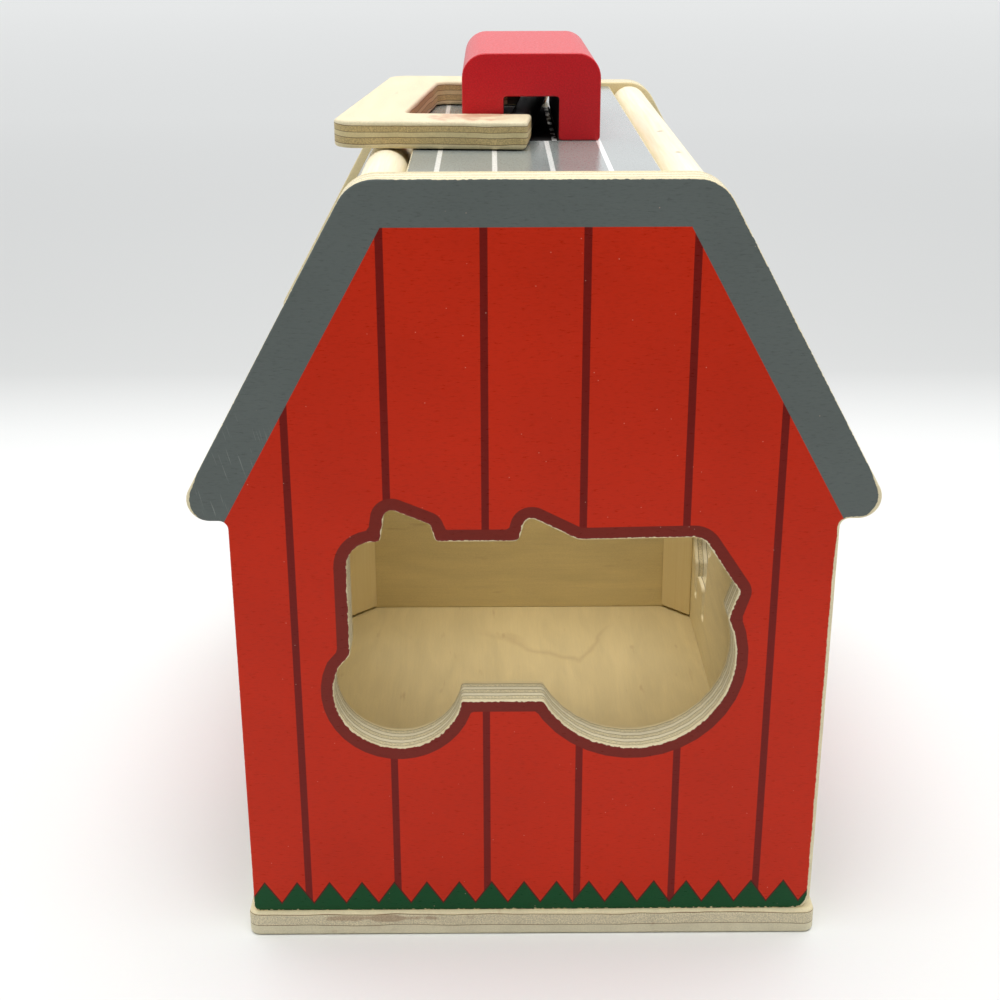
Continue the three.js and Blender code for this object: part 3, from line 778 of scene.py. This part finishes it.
# Triangles that fill the space between rings and use the loose points inside it. The wood lies to
# the left of every ring, so the filling spreads from there and stops at the rings
def fillFace(rings, loose):
    points = np.concatenate([*rings, loose])
    starts = np.cumsum([0] + [len(ring) for ring in rings])
    edges = [(int(s + i), int(s + (i + 1) % len(ring))) for s, ring in zip(starts, rings)
             for i in range(len(ring))]
    made = delaunay_2d_cdt([Vector(p) for p in points.tolist()], edges, [], 0, boards["weld"])
    source = np.array([ids[0] if ids else -1 for ids in made[3]])
    triangles = source[np.array(made[2])]
    sides = {}
    for i, (a, b, c) in enumerate(triangles.tolist()):
        sides[a, b] = sides[b, c] = sides[c, a] = i
    walls = set(edges)
    filled = {sides[edge] for edge in edges if edge in sides}
    waiting = list(filled)
    while waiting:
        a, b, c = triangles[waiting.pop()].tolist()
        for u, v in ((a, b), (b, c), (c, a)):
            beyond = sides.get((v, u))
            if (u, v) not in walls and beyond is not None and beyond not in filled:
                filled.add(beyond)
                waiting.append(beyond)
    triangles = triangles[sorted(filled)]
    return triangles[(triangles >= 0).all(1)]


# Profile of a board's edge, as insets and depths: a quarter circle at each face and a straight run
def edgeProfile(ease, thickness, layers):
    turn = np.linspace(0, math.pi / 2, boards["roundSteps"])
    bend, drop = ease * (1 - np.sin(turn)), ease * (1 - np.cos(turn))
    straight = np.linspace(ease, thickness - ease, layers + 2)[1:-1]
    inset = np.concatenate([bend, np.zeros(layers), bend[::-1]])
    return inset, np.concatenate([drop, straight, thickness - drop[::-1]])


# Two triangles for each four-sided patch between the corners a, b, c and d
def quadTriangles(a, b, c, d):
    return np.concatenate([np.stack([a, b, c], -1).reshape(-1, 3), np.stack([a, c, d], -1).reshape(-1, 3)])


# A board as one closed surface. In words: each ring round its face is carried through the thickness
# on the edge profile, moved towards the wood by the inset; triangles fill both faces, and each point
# keeps its distance to the nearest edge and to the nearest window. A rise lifts the top edge by an
# amount that depends on the depth, which makes a bevelled or a hollow top
def boardSurface(nodeName, outward, upward, settings, rise=None, reshape=None, layers=1, measured=False,
                 pocketDepth=0.0):
    thickness, ease, corner = (settings[key] for key in ("thickness", "ease", "corner"))
    outward, upward = np.array(outward, float), np.array(upward, float)
    flatten = np.stack([np.cross(upward, outward), upward], 1)
    raw = faceRings(nodeName, outward)
    level = float((raw[0] @ outward)[0])
    rings = []
    for ring in sorted((ring @ flatten for ring in raw), key=lambda ring: -np.ptp(ring, axis=0).prod()):
        if np.ptp(ring, axis=0).max() < boards["holeWidest"]:
            around = np.linspace(0, -2 * math.pi, boards["holeSides"], endpoint=False)[:, None]
            circle = np.hstack([np.cos(around), np.sin(around)])
            rings.append(ring.mean(0) + boards["screwHole"] * circle)
        else:
            ring = reshape(ring) if reshape else ring
            rings.append(refineRing(easeCorners(ring, corner), boards["spacing"]))
    top = rings[0][:, 1].max()

    def placed(flat, below):
        return flat @ flatten.T + outward * (level - np.asarray(below)[..., None])

    points, triangles, border, count = [], [], [], 0
    shownRings, shownIds, backRings, backIds = [], [], [], []
    for ring in rings:
        if len(ring) == boards["holeSides"]:
            inset, depth = np.array(boards["countersink"]).T
            side = mitres(ring)
        else:
            inset, depth = edgeProfile(ease, thickness, layers)
            side = unfoldedMitres(ring, ease)
        flat = ring[None] + inset[:, None, None] * side[None]
        if rise:
            risen = flat[..., 1] > top - boards["risenCorners"] * corner
            flat[..., 1] += np.where(risen, rise(depth)[:, None], 0)
        points.append(placed(flat, np.broadcast_to(depth[:, None], flat.shape[:2])).reshape(-1, 3))
        border.append(np.repeat(inset - ease - np.where(depth > ease / 2, depth, 0), len(ring)))
        ids = count + np.arange(len(inset) * len(ring)).reshape(len(inset), -1)
        after = np.roll(ids, -1, 1)
        triangles.append(quadTriangles(ids[:-1], ids[1:], after[1:], after[:-1]))
        shownRings.append(flat[0])
        backRings.append(flat[-1])
        shownIds.append(ids[0])
        backIds.append(ids[-1])
        count += ids.size

    # blind round holes that only the inner face has
    for ring in faceRings(nodeName, -outward) if pocketDepth else []:
        ring = ring @ flatten
        if np.ptp(ring, axis=0).max() < boards["pocketWidest"]:
            ring = refineRing(ring[::-1], boards["pocketSpacing"])
            floor = thickness - pocketDepth
            wall = np.stack([placed(ring, np.full(len(ring), d)) for d in (thickness, floor)])
            ids = count + np.arange(2 * len(ring)).reshape(2, -1)
            after = np.roll(ids, -1, 1)
            hub = count + 2 * len(ring)
            triangles.append(quadTriangles(ids[0], after[0], after[1], ids[1]))
            triangles.append(np.stack([ids[1], after[1], np.full(len(ring), hub)], -1))
            points += [wall.reshape(-1, 3), placed(ring.mean(0)[None], np.array([floor]))]
            border.append(np.full(2 * len(ring) + 1, -thickness))
            backRings.append(ring)
            backIds.append(ids[0])
            count = hub + 1

    for flatRings, ids, below, way in ((shownRings, shownIds, 0.0, 1), (backRings, backIds, thickness, -1)):
        loose = loosePoints(flatRings) if measured else np.zeros((0, 2))
        filled = fillFace(flatRings, loose)
        known = np.concatenate([*ids, count + np.arange(len(loose))])
        triangles.append(known[filled[:, ::way]])
        if measured:
            points.append(placed(loose, np.full(len(loose), below)))
            border.append(ringDistance(loose, flatRings))
            count += len(loose)

    points, triangles, border = (np.concatenate(part) for part in (points, triangles, border))
    windows = [ring for ring in rings[1:] if len(ring) != boards["holeSides"]]
    gap = ringDistance(points @ flatten, windows) if windows else np.full(len(points), boards["farAway"])
    return points, triangles, {"edgeDistance": border, "windowDistance": gap} if measured else {}


# A turned surface: a profile of (radius, place along the axis) carried round a circle. Both ends of
# the profile lie on the axis and close the surface with a single point each
def turnedSurface(profile, sides, axis, centre):
    radius, along = np.array(profile).T
    angle = np.linspace(0, 2 * math.pi, sides, endpoint=False)
    first, second = ((1, 2), (2, 0), (0, 1))[axis]
    grid = np.zeros((len(radius), sides, 3))
    grid[..., first] = radius[:, None] * np.cos(angle)
    grid[..., second] = radius[:, None] * np.sin(angle)
    grid[..., axis] = along[:, None]
    inner = grid[1:-1].reshape(-1, 3)
    ids = np.arange(len(inner)).reshape(-1, sides)
    after = np.roll(ids, -1, 1)
    start, end = np.full(sides, len(inner)), np.full(sides, len(inner) + 1)
    triangles = np.concatenate([
        quadTriangles(ids[:-1], after[:-1], after[1:], ids[1:]),
        np.stack([start, after[0], ids[0]], -1),
        np.stack([end, ids[-1], after[-1]], -1),
    ])
    points = np.concatenate([inner, grid[:1, 0], grid[-1:, 0]]) + np.asarray(centre)
    return points, triangles, {}


# Gables and walls
body = {
    "plies": "sevenPlies",
    "thickness": 9.0,  # mm
    "ease": 0.35,
    "corner": 0.8,
    "foot": 6.0,  # height of the boards' lower edge
    "tenonHole": 5.3,
    "wornWide": 3.0,
    "wornHigh": 4.0,
    "wornPoints": 9,
    # painted light: the walls' inner side is paler than the birch's own, for the light that reaches it inside
    "wallInner": "#f1e6c3",
    "gloss": 0.32,
    "finish": {"Specular_IOR_Level": 0.2},  # a satin varnish with little shine
}


# The front gable's lower right corner is worn round: a quarter of an ellipse takes the corner's place
def wornFoot(ring):
    foot = ring[:, 1].min()
    if foot > body["foot"] + 1:  # a window
        return ring
    wide, high = body["wornWide"], body["wornHigh"]
    side = ring[ring[:, 1] < foot + 3 * high, 0].max()
    turn = np.linspace(0, math.pi / 2, body["wornPoints"])
    arc = np.stack([side - wide + wide * np.sin(turn), foot + high - high * np.cos(turn)], 1)
    gone = (ring[:, 0] > side - wide) & (ring[:, 1] < foot + high)
    start = int(np.argmax(gone & ~np.roll(gone, 1)))
    kept = np.roll(ring, -start, 0)[int(gone.sum()):]
    return np.concatenate([arc, kept])


# The walls' top edge rises with the depth, at the roof's pitch
def bevelRise(depth):
    return depth * math.tan(roofPitch)


gable = {
    "across": "X",
    "top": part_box("front_gable")[1].z / mm,
    "slopeReach": reachOf("front_gable", slopeWay),  # from the origin out to the roof's slope
}
wall = {"across": "Y", "inner": body["wallInner"]}
for name, outward, grain, kind, shape in (
    ("front_gable", (0, -1, 0), 0, gable, {"pocketDepth": body["tenonHole"], "reshape": wornFoot}),
    ("rear_gable", (0, 1, 0), 0, gable, {"pocketDepth": body["tenonHole"]}),
    ("left_wall", (-1, 0, 0), 1, wall, {"rise": bevelRise}),
    ("right_wall", (1, 0, 0), 1, wall, {"rise": bevelRise}),
):
    facts = boardFacts(name, outward, body, grain, **kind)
    material = makeMaterial(f"printed_paint_on_sanded_birch_{name}", printedBirch, facts, plankPrint)
    surface = boardSurface(name, outward, (0, 0, 1), body, measured=True, **shape)
    addPiece(f"{name}_board", surface, material, "barn", name)
print("gables and walls ready")

# Base board
base = {
    "plies": "threePlies",
    "thickness": 6.0,  # mm
    "ease": 0.8,
    "corner": 0.9,
    "face": "#ddd0a8",
    "dark": "#dacfae",
    "inner": "#ded5b6",
    "streakShade": "#8a6238",
    "streakPoint": (18.0, 37.0),
    "streakMiddle": (10.0, 47.0),
    "streakFall": 0.82,
    "streakRise": 2.4,
    "streakWidth": 1.5,
    "streakReach": 30.0,
    "streakWave": 12.0,
    "streakBend": 3.0,
    "streakOpacity": 0.2,
    "stainShade": "#8a5b39",
    "stainPlace": (-34.0, -89.2, 4.65),
    "stainHalf": (12.5, 1.5, 0.8),
    "stainPatch": 4.0,
    "stainRagged": (-0.35, 0.4),  # against the stain's own size, as the next
    "stainSpan": (0.7, 1.1),
    "stainOpacity": 0.46,
}


# Bare birch plywood, sanded and left dry: every sawn edge gives the eye stripes. In words: a mineral
# streak lies where the distance in depth equals two slopes that meet in a point, bent by noise, and a
# stain where the place, shrunk by the stain's half sizes, comes close to its middle
def markedBirch(add, place, board):
    wood = birchPlywood(add, place, board)
    across, along, _ = add("SeparateXYZ", {}, place).outputs
    x, y = base["streakPoint"]
    fall, rise = base["streakFall"], base["streakRise"]
    left = add("Math", "MULTIPLY_ADD", across, -fall, y + x * fall)
    right = add("Math", "MULTIPLY_ADD", across, rise, y - x * rise)
    route = add("Math", "MAXIMUM", left, right)
    wander = add("TexNoise", {}, Vector=place, Scale=1 / base["streakWave"], Detail=1.0)
    bend = add("MapRange", {}, wander, *noiseSpan, -base["streakBend"], base["streakBend"])
    gap = add("Math", "SUBTRACT", along, add("Math", "ADD", route, bend))
    gap = add("Math", "ABSOLUTE", gap)
    streak = add("MapRange", {}, gap, 0.0, 2 * base["streakWidth"], 1.0, 0.0)
    middle = (*base["streakMiddle"], board["level"])
    far = add("VectorMath", "DISTANCE", place, middle)
    fade = add("MapRange", {}, far, base["streakReach"] / 2, base["streakReach"], 1.0, 0.0)
    mask = add("Math", "MULTIPLY", streak, fade)
    shade = overprint(add, wood["shade"], mask, base["streakShade"], base["streakOpacity"])
    shrink = [1 / half for half in base["stainHalf"]]
    shift = [-part / half for part, half in zip(base["stainPlace"], base["stainHalf"])]
    stainPlace = add("Mapping", {}, Vector=place, Location=shift, Scale=shrink)
    stain = add("VectorMath", "LENGTH", stainPlace)
    patchy = add("TexNoise", {}, Vector=place, Scale=1 / base["stainPatch"], Detail=3.0)
    edge = add("MapRange", {}, patchy, *plainSpan, *base["stainRagged"])
    mask = add("MapRange", {}, add("Math", "ADD", stain, edge), *base["stainSpan"], 1.0, 0.0)
    shade = overprint(add, shade, mask, base["stainShade"], base["stainOpacity"])
    return shade, wood["roughness"], wood["relief"], birch["relief"], {}


facts = boardFacts("base_board", (0, 0, 1), base, 1)
material = makeMaterial("sanded_birch_plywood_base", markedBirch, facts)
surface = boardSurface("base_board", (0, 0, 1), (0, 1, 0), base)
addPiece("base_board_sanded", surface, material, "barn", "base_board")

# Roof panel and flaps
roof = {
    "plies": "fivePlies",
    "thickness": 6.0,  # mm
    "ease": 0.5,
    "corner": 0.9,
    "flapOuter": 4.6,
    "flapLayers": 5,
    "rodHollow": 5.3,
    "gloss": 0.15,
    "finish": {"IOR": 1.6},  # a smooth, thick clear coat gives the roof its hard gloss
}
facts = boardFacts("roof_panel", (0, 0, 1), roof, 1, down=(1, 0, 0), seamShift=paint["seamShift"])
material = makeMaterial("gloss_print_on_birch_panel", printedBirch, facts, roofPrint)
surface = boardSurface("roof_panel", (0, 0, 1), (0, 1, 0), roof, measured=True)
addPiece("roof_panel_printed", surface, material, "barn", "roof_panel")


# How much lower the flap's top edge lies at a depth: its hollow follows a circle round the rod
def hollowRise(depth):
    outer, square = roof["flapOuter"], roof["rodHollow"] ** 2
    return np.sqrt(square - outer ** 2) - np.sqrt(square - (outer - depth) ** 2)


for side, name in ((-1, "left"), (1, "right")):
    out = (side * slopeWay[0], 0, slopeWay[2])
    up = (-side * slopeWay[2], 0, slopeWay[0])
    facts = boardFacts(f"{name}_roof_flap", out, roof, 1, down=up, seamShift=0)
    material = makeMaterial(f"gloss_print_on_birch_{name}_flap", printedBirch, facts, roofPrint)
    surface = boardSurface(f"{name}_roof_flap", out, up, roof, rise=hollowRise, layers=roof["flapLayers"],
                           measured=True)
    addPiece(f"{name}_flap_printed", surface, material, f"{name}_flap",
             f"{name}_roof_flap")
print("base and roof ready")

# Carry handle: bare birch, rubbed red where the painted block touches it
handle = {
    "plies": "fivePlies",
    "thickness": 6.0,  # mm
    "ease": 0.7,
    "corner": 1.6,
    "layers": 6,
    "axis": (0.3, 0.0, 178.6),
    "skew": 5.0,  # degrees
    "back": 3.0,
    "half": 46.6,
    "drawnCorner": 5.0,
    "heelRound": 1.5,
    "slack": 0.05,
    "sameSpot": 1e-3,
    "barRadius": 2.98,
    "barHalf": 38.0,
    "barRows": 12,
    "barSides": 40,
    "pale": "#dccb99",
    "dark": "#c9b27c",
    "tone": 0.92,
    # painted shade: near black on the ring's inner edges beside the tunnel, which the block keeps dark
    "stainHalf": 7.5,
    "stainReach": 32.65,  # a little past the ring's inner edge
    "stainOpacity": 0.9,
    "rubShade": "#b9694a",
    "rubPlace": (-14.0, -35.5, 182.5),
    "rubReach": 12.0,
    "rubPatch": 4.0,
    "rubRagged": 5.0,
    "rubDepth": 0.6,
    "rubOpacity": 0.55,
}
skew = math.radians(handle["skew"])
unskew = np.array([[math.cos(skew), math.sin(skew), 0], [-math.sin(skew), math.cos(skew), 0], [0, 0, 1]])


# Bare birch plywood, sanded smooth for the hand: dry and pale, with striped edges. In words: rubbed
# paint lies near one place on the upper face, at a distance that noise makes ragged, and painted
# shade, near black, where the place, turned back by the skew, lies within the tunnel's width and length
def handleBirch(add, place, board):
    wood = birchPlywood(add, place, board)
    gap = add("VectorMath", "DISTANCE", place, handle["rubPlace"])
    patchy = add("TexNoise", {}, Vector=place, Scale=1 / handle["rubPatch"], Detail=4.0)
    smudge = add("MapRange", {}, patchy, *plainSpan, -handle["rubRagged"], handle["rubRagged"])
    blurred = add("Math", "ADD", gap, smudge)
    mask = add("MapRange", smoothStep, blurred, 0.0, handle["rubReach"], 1.0, 0.0)
    upper = add("Math", "LESS_THAN", wood["depth"], handle["rubDepth"])
    mask = add("Math", "MULTIPLY", mask, upper)
    shade = overprint(add, wood["shade"], mask, handle["rubShade"], handle["rubOpacity"])
    # painted shade: near black where the ring's inner edges lie beside the tunnel
    square = add("Mapping", {"vector_type": "TEXTURE"}, Vector=place, Location=handle["axis"],
                 Rotation=(0, 0, -skew))
    x, y, _ = add("SeparateXYZ", {}, square).outputs
    wide = add("Math", "COMPARE", x, 0.0, handle["stainHalf"])
    long = add("Math", "COMPARE", y, 0.0, handle["stainReach"])
    shadedEdge = add("Math", "MULTIPLY", wide, long)
    shade = overprint(add, shade, shadedEdge, tunnel["shade"], handle["stainOpacity"])
    return shade, wood["roughness"], wood["relief"], birch["relief"], {}


# Every point in the heel's corner arcs moves to the corner itself, which is then eased again
def squareHeel(ring):
    middle = np.array(handle["axis"][:2])
    local = (ring - middle) @ unskew[:2, :2]
    deep = handle["back"] - handle["drawnCorner"] + handle["slack"]
    far = handle["half"] - handle["drawnCorner"] + handle["slack"]
    inArc = (local[:, 0] > deep) & (np.abs(local[:, 1]) > far)
    corners = np.stack([np.full(len(local), handle["back"]), np.sign(local[:, 1]) * handle["half"]], 1)
    local[inArc] = corners[inArc]
    kept = np.linalg.norm(local - np.roll(local, 1, 0), axis=1) > handle["sameSpot"]
    return local[kept] @ unskew[:2, :2].T + middle


# The ring of ply: a board's surface, whose heel reaches no further than a small quarter circle where
# it comes down to its lower edge
def handleSurface():
    points, triangles, measures = boardSurface("carry_handle", (0, 0, 1), (0, 1, 0), handle,
                                               reshape=squareHeel, layers=handle["layers"])
    local = (points - handle["axis"]) @ unskew
    bend = handle["heelRound"]
    drop = np.clip(-local[:, 2] - handle["thickness"] / 2 + bend, 0, bend)
    limit = handle["back"] - bend + np.sqrt(bend ** 2 - drop ** 2) + handle["sameSpot"]
    local[:, 0] = np.minimum(local[:, 0], limit)
    return local @ unskew.T + handle["axis"], triangles, measures


# The bar in the tunnel: a straight profile with flat ends, carried round and turned by the skew
def barSurface():
    radius, end = handle["barRadius"], handle["barHalf"]
    rows = [(radius, y) for y in np.linspace(-end, end, handle["barRows"])]
    profile = [(0, -end), *rows, (0, end)]
    points, triangles, measures = turnedSurface(profile, handle["barSides"], 1, (0, 0, 0))
    return points @ unskew.T + handle["axis"], triangles, measures


facts = boardFacts("carry_handle", (0, 0, 1), handle, 1)
material = makeMaterial("sanded_birch_plywood_handle", handleBirch, facts)
addPiece("carry_handle_sanded", handleSurface(), material, "handle", "carry_handle")

# The round bar inside the tunnel
bar = {
    "shade": "#1b1a19",
    "scratch": "#8d8a86",
    "scratchWidth": 0.3,  # mm
    "scratchLength": 6.0,
    "scratchTurn": 0.5,  # radians
    "scratchSpan": (0.6, 0.68),
    "scratchOpacity": 0.6,
    "roughness": (0.4, 0.6),
    "relief": 0.03,
}


# Turned beech, near black and left matt: the block has scratched it grey. In words: a scratch lies
# where noise, drawn out slantwise across the bar, comes near its peaks
def nearBlackBar(add, place):
    drawn = add("Mapping", {}, Vector=place, Scale=alongGrain(0, bar["scratchLength"], bar["scratchWidth"]),
                Rotation=(0, 0, bar["scratchTurn"]))
    scratch = add("TexNoise", {}, Vector=drawn, Scale=1.0, Detail=3.0)
    line = add("MapRange", {}, scratch, *bar["scratchSpan"], 0.0, bar["scratchOpacity"])
    shade = overprint(add, toLinear(bar["shade"]), line, bar["scratch"])
    roughness = add("MapRange", {}, scratch, *noiseSpan, *bar["roughness"])
    return shade, roughness, scratch, bar["relief"], {}


material = makeMaterial("black_stained_beech_bar", nearBlackBar)
addPiece("handle_bar_stained", barSurface(), material, "handle", "carry_handle")

# Bridge: a solid block
lacquer = {
    "thickness": 61.6,  # mm, from its front face to its rear face
    "ease": 0.4,
    "corner": 1.0,
    "shade": "#d20a1d",
    "deep": "#bf0816",
    "peel": 0.55,
    "speck": 0.35,  # as coarse as it needs to show
    "relief": 0.06,
    "roughness": (0.31, 0.44),
}


# Crimson lacquer, sprayed: a fine orange peel breaks up its soft gloss. In words: fine noise mixes
# two reds, coarser noise makes the peel, and the tunnel is painted near black as painted shade, and dull
def sprayedLacquer(add, place, settings):
    peel = add("TexNoise", {}, Vector=place, Scale=1 / settings["peel"], Detail=3.0)
    speck = add("TexNoise", {}, Vector=place, Scale=1 / settings["speck"], Detail=2.0)
    share = add("MapRange", {}, speck, *plainSpan, 0.0, 1.0)
    shade = add("Mix", ofColours, share, toLinear(settings["deep"]), toLinear(settings["shade"]))
    roughness = add("MapRange", {}, peel, *noiseSpan, *settings["roughness"])
    inTunnel = tunnelMask(add, place)
    # painted shade: the tunnel's faces are near black, as no light gets in
    shade = overprint(add, shade, inTunnel, tunnel["shade"])
    roughness = add("Mix", {}, inTunnel, roughness, tunnel["gloss"])
    return shade, roughness, peel, settings["relief"], {}


surface = boardSurface("handle_bridge", (0, -1, 0), (0, 0, 1), lacquer)
material = makeMaterial("sprayed_crimson_lacquer", sprayedLacquer, lacquer)
addPiece("handle_bridge_lacquered", surface, material, "barn", "handle_bridge")

# Rods, corner blocks and cleats
dowel = {
    "pale": "#f4ead0",
    "dark": "#eadebb",
    "contrast": 1.0,
    "fibreWidth": 0.7,  # mm, as coarse as they need to show
    "fibreLength": 22.0,
    "fibreSpan": (0.3, 0.72),
    "roughness": (0.5, 0.65),
    "relief": 0.05,
    "mark": "#6b5a3a",
    "marks": ((31.8, -15.5, 175.3), (32.4, -48.2, 175.3)),
    "markReach": 0.9,
    "markBlur": 0.8,
    "markRagged": 1.2,
    "markOpacity": 0.8,
    "tenonRadius": 3.0,
    "shoulder": 78.55,
    "shoulderStep": 0.05,
    "shoulderBend": 0.3,
    "sides": 64,
    "rows": 24,
    "ease": 0.5,
}
planed = {"pale": "#efdfb4", "dark": "#e4d09c", "contrast": 0.45}  # plainer than the rods
block = {**planed, "thickness": 84.0, "ease": 0.25, "corner": 1.2}  # mm, with its height as thickness
cleat = {**planed, "thickness": 9.0, "ease": 0.4, "corner": 0.8}


# Solid wood, planed or turned and left bare: pale, dry and even, with long fine fibres. In words:
# noise drawn out along the grain mixes a pale and a dark tone, and brown marks lie close to given
# places, at a distance that the same noise makes ragged
def solidWood(add, place, grain, settings, marks=()):
    scale = alongGrain(grain, dowel["fibreLength"], dowel["fibreWidth"])
    drawn = add("Mapping", {}, Vector=place, Scale=scale)
    fibre = add("TexNoise", {}, Vector=drawn, Scale=1.0, Detail=4.0, Roughness=0.6)
    share = add("MapRange", {}, fibre, *dowel["fibreSpan"], 0.0, settings["contrast"])
    shade = add("Mix", ofColours, share, toLinear(settings["pale"]), toLinear(settings["dark"]))
    for mark in marks:
        gap = add("VectorMath", "DISTANCE", place, mark)
        ragged = add("Math", "MULTIPLY_ADD", fibre, dowel["markRagged"], gap)
        reach = dowel["markReach"]
        mask = add("MapRange", {}, ragged, reach, reach + dowel["markBlur"], 1.0, 0.0)
        shade = overprint(add, shade, mask, dowel["mark"], dowel["markOpacity"])
    roughness = add("MapRange", {}, fibre, *noiseSpan, *dowel["roughness"])
    return shade, roughness, fibre, dowel["relief"], {}


# A rod: from its middle to each end, the profile runs straight, bends in at the shoulder, follows the
# thinner tenon and bends in again at its end, and is carried round the rod's axis
def rodSurface(nodeName):
    low, high = (np.array(corner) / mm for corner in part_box(nodeName))
    radius, end = (high[0] - low[0]) / 2, high[1]
    ease, shoulder, tenon = dowel["ease"], dowel["shoulder"], dowel["tenonRadius"]
    bend = dowel["shoulderBend"] * ease
    half = [(0, end), (tenon - ease, end), (tenon, end - ease), (tenon, shoulder + dowel["shoulderStep"]),
            (tenon, shoulder), (radius - ease, shoulder), (radius - bend, shoulder - bend),
            (radius, shoulder - ease)]
    belt = [(radius, y) for y in np.linspace(shoulder - ease, ease - shoulder, dowel["rows"])[1:-1]]
    profile = [(r, -y) for r, y in half] + [(r, -y) for r, y in belt] + half[::-1]
    return turnedSurface(profile, dowel["sides"], 1, ((low[0] + high[0]) / 2, 0, (low[2] + high[2]) / 2))


for name, marks in (("left", ()), ("right", dowel["marks"])):
    material = makeMaterial(f"turned_beech_rod_{name}", solidWood, 1, dowel, marks)
    addPiece(f"{name}_hinge_rod_turned", rodSurface(f"{name}_hinge_rod"), material, f"{name}_flap",
             f"{name}_hinge_rod")
material = makeMaterial("planed_pine_block", solidWood, 2, block)
for place in ("front_left", "front_right", "rear_left", "rear_right"):
    surface = boardSurface(f"corner_block_{place}", (0, 0, 1), (0, 1, 0), block)
    addPiece(f"corner_block_{place}_planed", surface, material, "barn", f"corner_block_{place}")
material = makeMaterial("planed_pine_cleat", solidWood, 0, cleat)
for place in ("front", "rear"):
    surface = boardSurface(f"{place}_roof_cleat", (0, -1, 0), (0, 0, 1), cleat)
    addPiece(f"{place}_roof_cleat_planed", surface, material, "barn", f"{place}_roof_cleat")
print("handle, bridge, rods and blocks ready")

# Wood screws with a cross recess
screw = {
    "shade": "#c3c6cc",
    "grit": 0.4,  # mm, as coarse as it needs to show
    "gritTone": (0.85, 1.05),
    "roughness": (0.28, 0.42),
    "relief": 0.01,
    "recessDepth": 1.1,
    "recessWidth": 0.5,
    "recessReach": 1.7,
    "recessSide": 0.15,
    "recessEnd": 0.5,
    "rim": 0.15,
    "flatSlack": 0.05,
    "rows": 12,
    "sides": 48,
    "shankRadius": 1.5,
    "headDepth": 2.0,
    "tipLength": 2.5,
}


# Steel, zinc-plated after cold heading: bright and cool, with a fine grit that spreads its gloss. In
# words: one fine noise sets the tone, the roughness and the relief
def platedSteel(add, place):
    grit = add("TexNoise", {}, Vector=place, Scale=1 / screw["grit"], Detail=3.0)
    tone = add("MapRange", {}, grit, *noiseSpan, *screw["gritTone"])
    shade = add("VectorMath", "SCALE", toLinear(screw["shade"])[:3], Scale=tone)
    roughness = add("MapRange", {}, grit, *noiseSpan, *screw["roughness"])
    return shade, roughness, grit, screw["relief"], {"Metallic": 1.0}


# A screw: a flat head, a cone, a shank and a point, carried round the axis. The flat of the head
# sinks wherever a point lies close to either arm of a cross
def screwSurface(name):
    low, high = (np.array(corner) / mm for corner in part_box(name))
    head, shank, rim = (high[0] - low[0]) / 2, screw["shankRadius"], screw["rim"]
    floor, tip = low[2], high[2]
    flat = [(r, floor) for r in np.linspace(0, head - rim, screw["rows"])]
    profile = flat + [(head, floor + rim), (shank, floor + screw["headDepth"]),
                      (shank, tip - screw["tipLength"]), (0, tip)]
    centre = ((low[0] + high[0]) / 2, (low[1] + high[1]) / 2, 0)
    points, triangles, measures = turnedSurface(profile, screw["sides"], 2, centre)
    x, y = np.abs(points[:, 0] - centre[0]), np.abs(points[:, 1] - centre[1])
    arm = np.clip((screw["recessWidth"] - np.minimum(x, y)) / screw["recessSide"], 0, 1)
    reach = np.clip((screw["recessReach"] - np.maximum(x, y)) / screw["recessEnd"], 0, 1)
    onHead = points[:, 2] < floor + screw["flatSlack"]
    points[:, 2] += np.where(onHead, screw["recessDepth"] * arm * reach, 0)
    return points, triangles, measures


steel = makeMaterial("zinc_plated_steel", platedSteel)
for name in sorted(nodes):
    if "_screw_" in name:
        addPiece(f"{name}_plated", screwSurface(name), steel, "barn", name)
print("screws ready")

low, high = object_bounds()
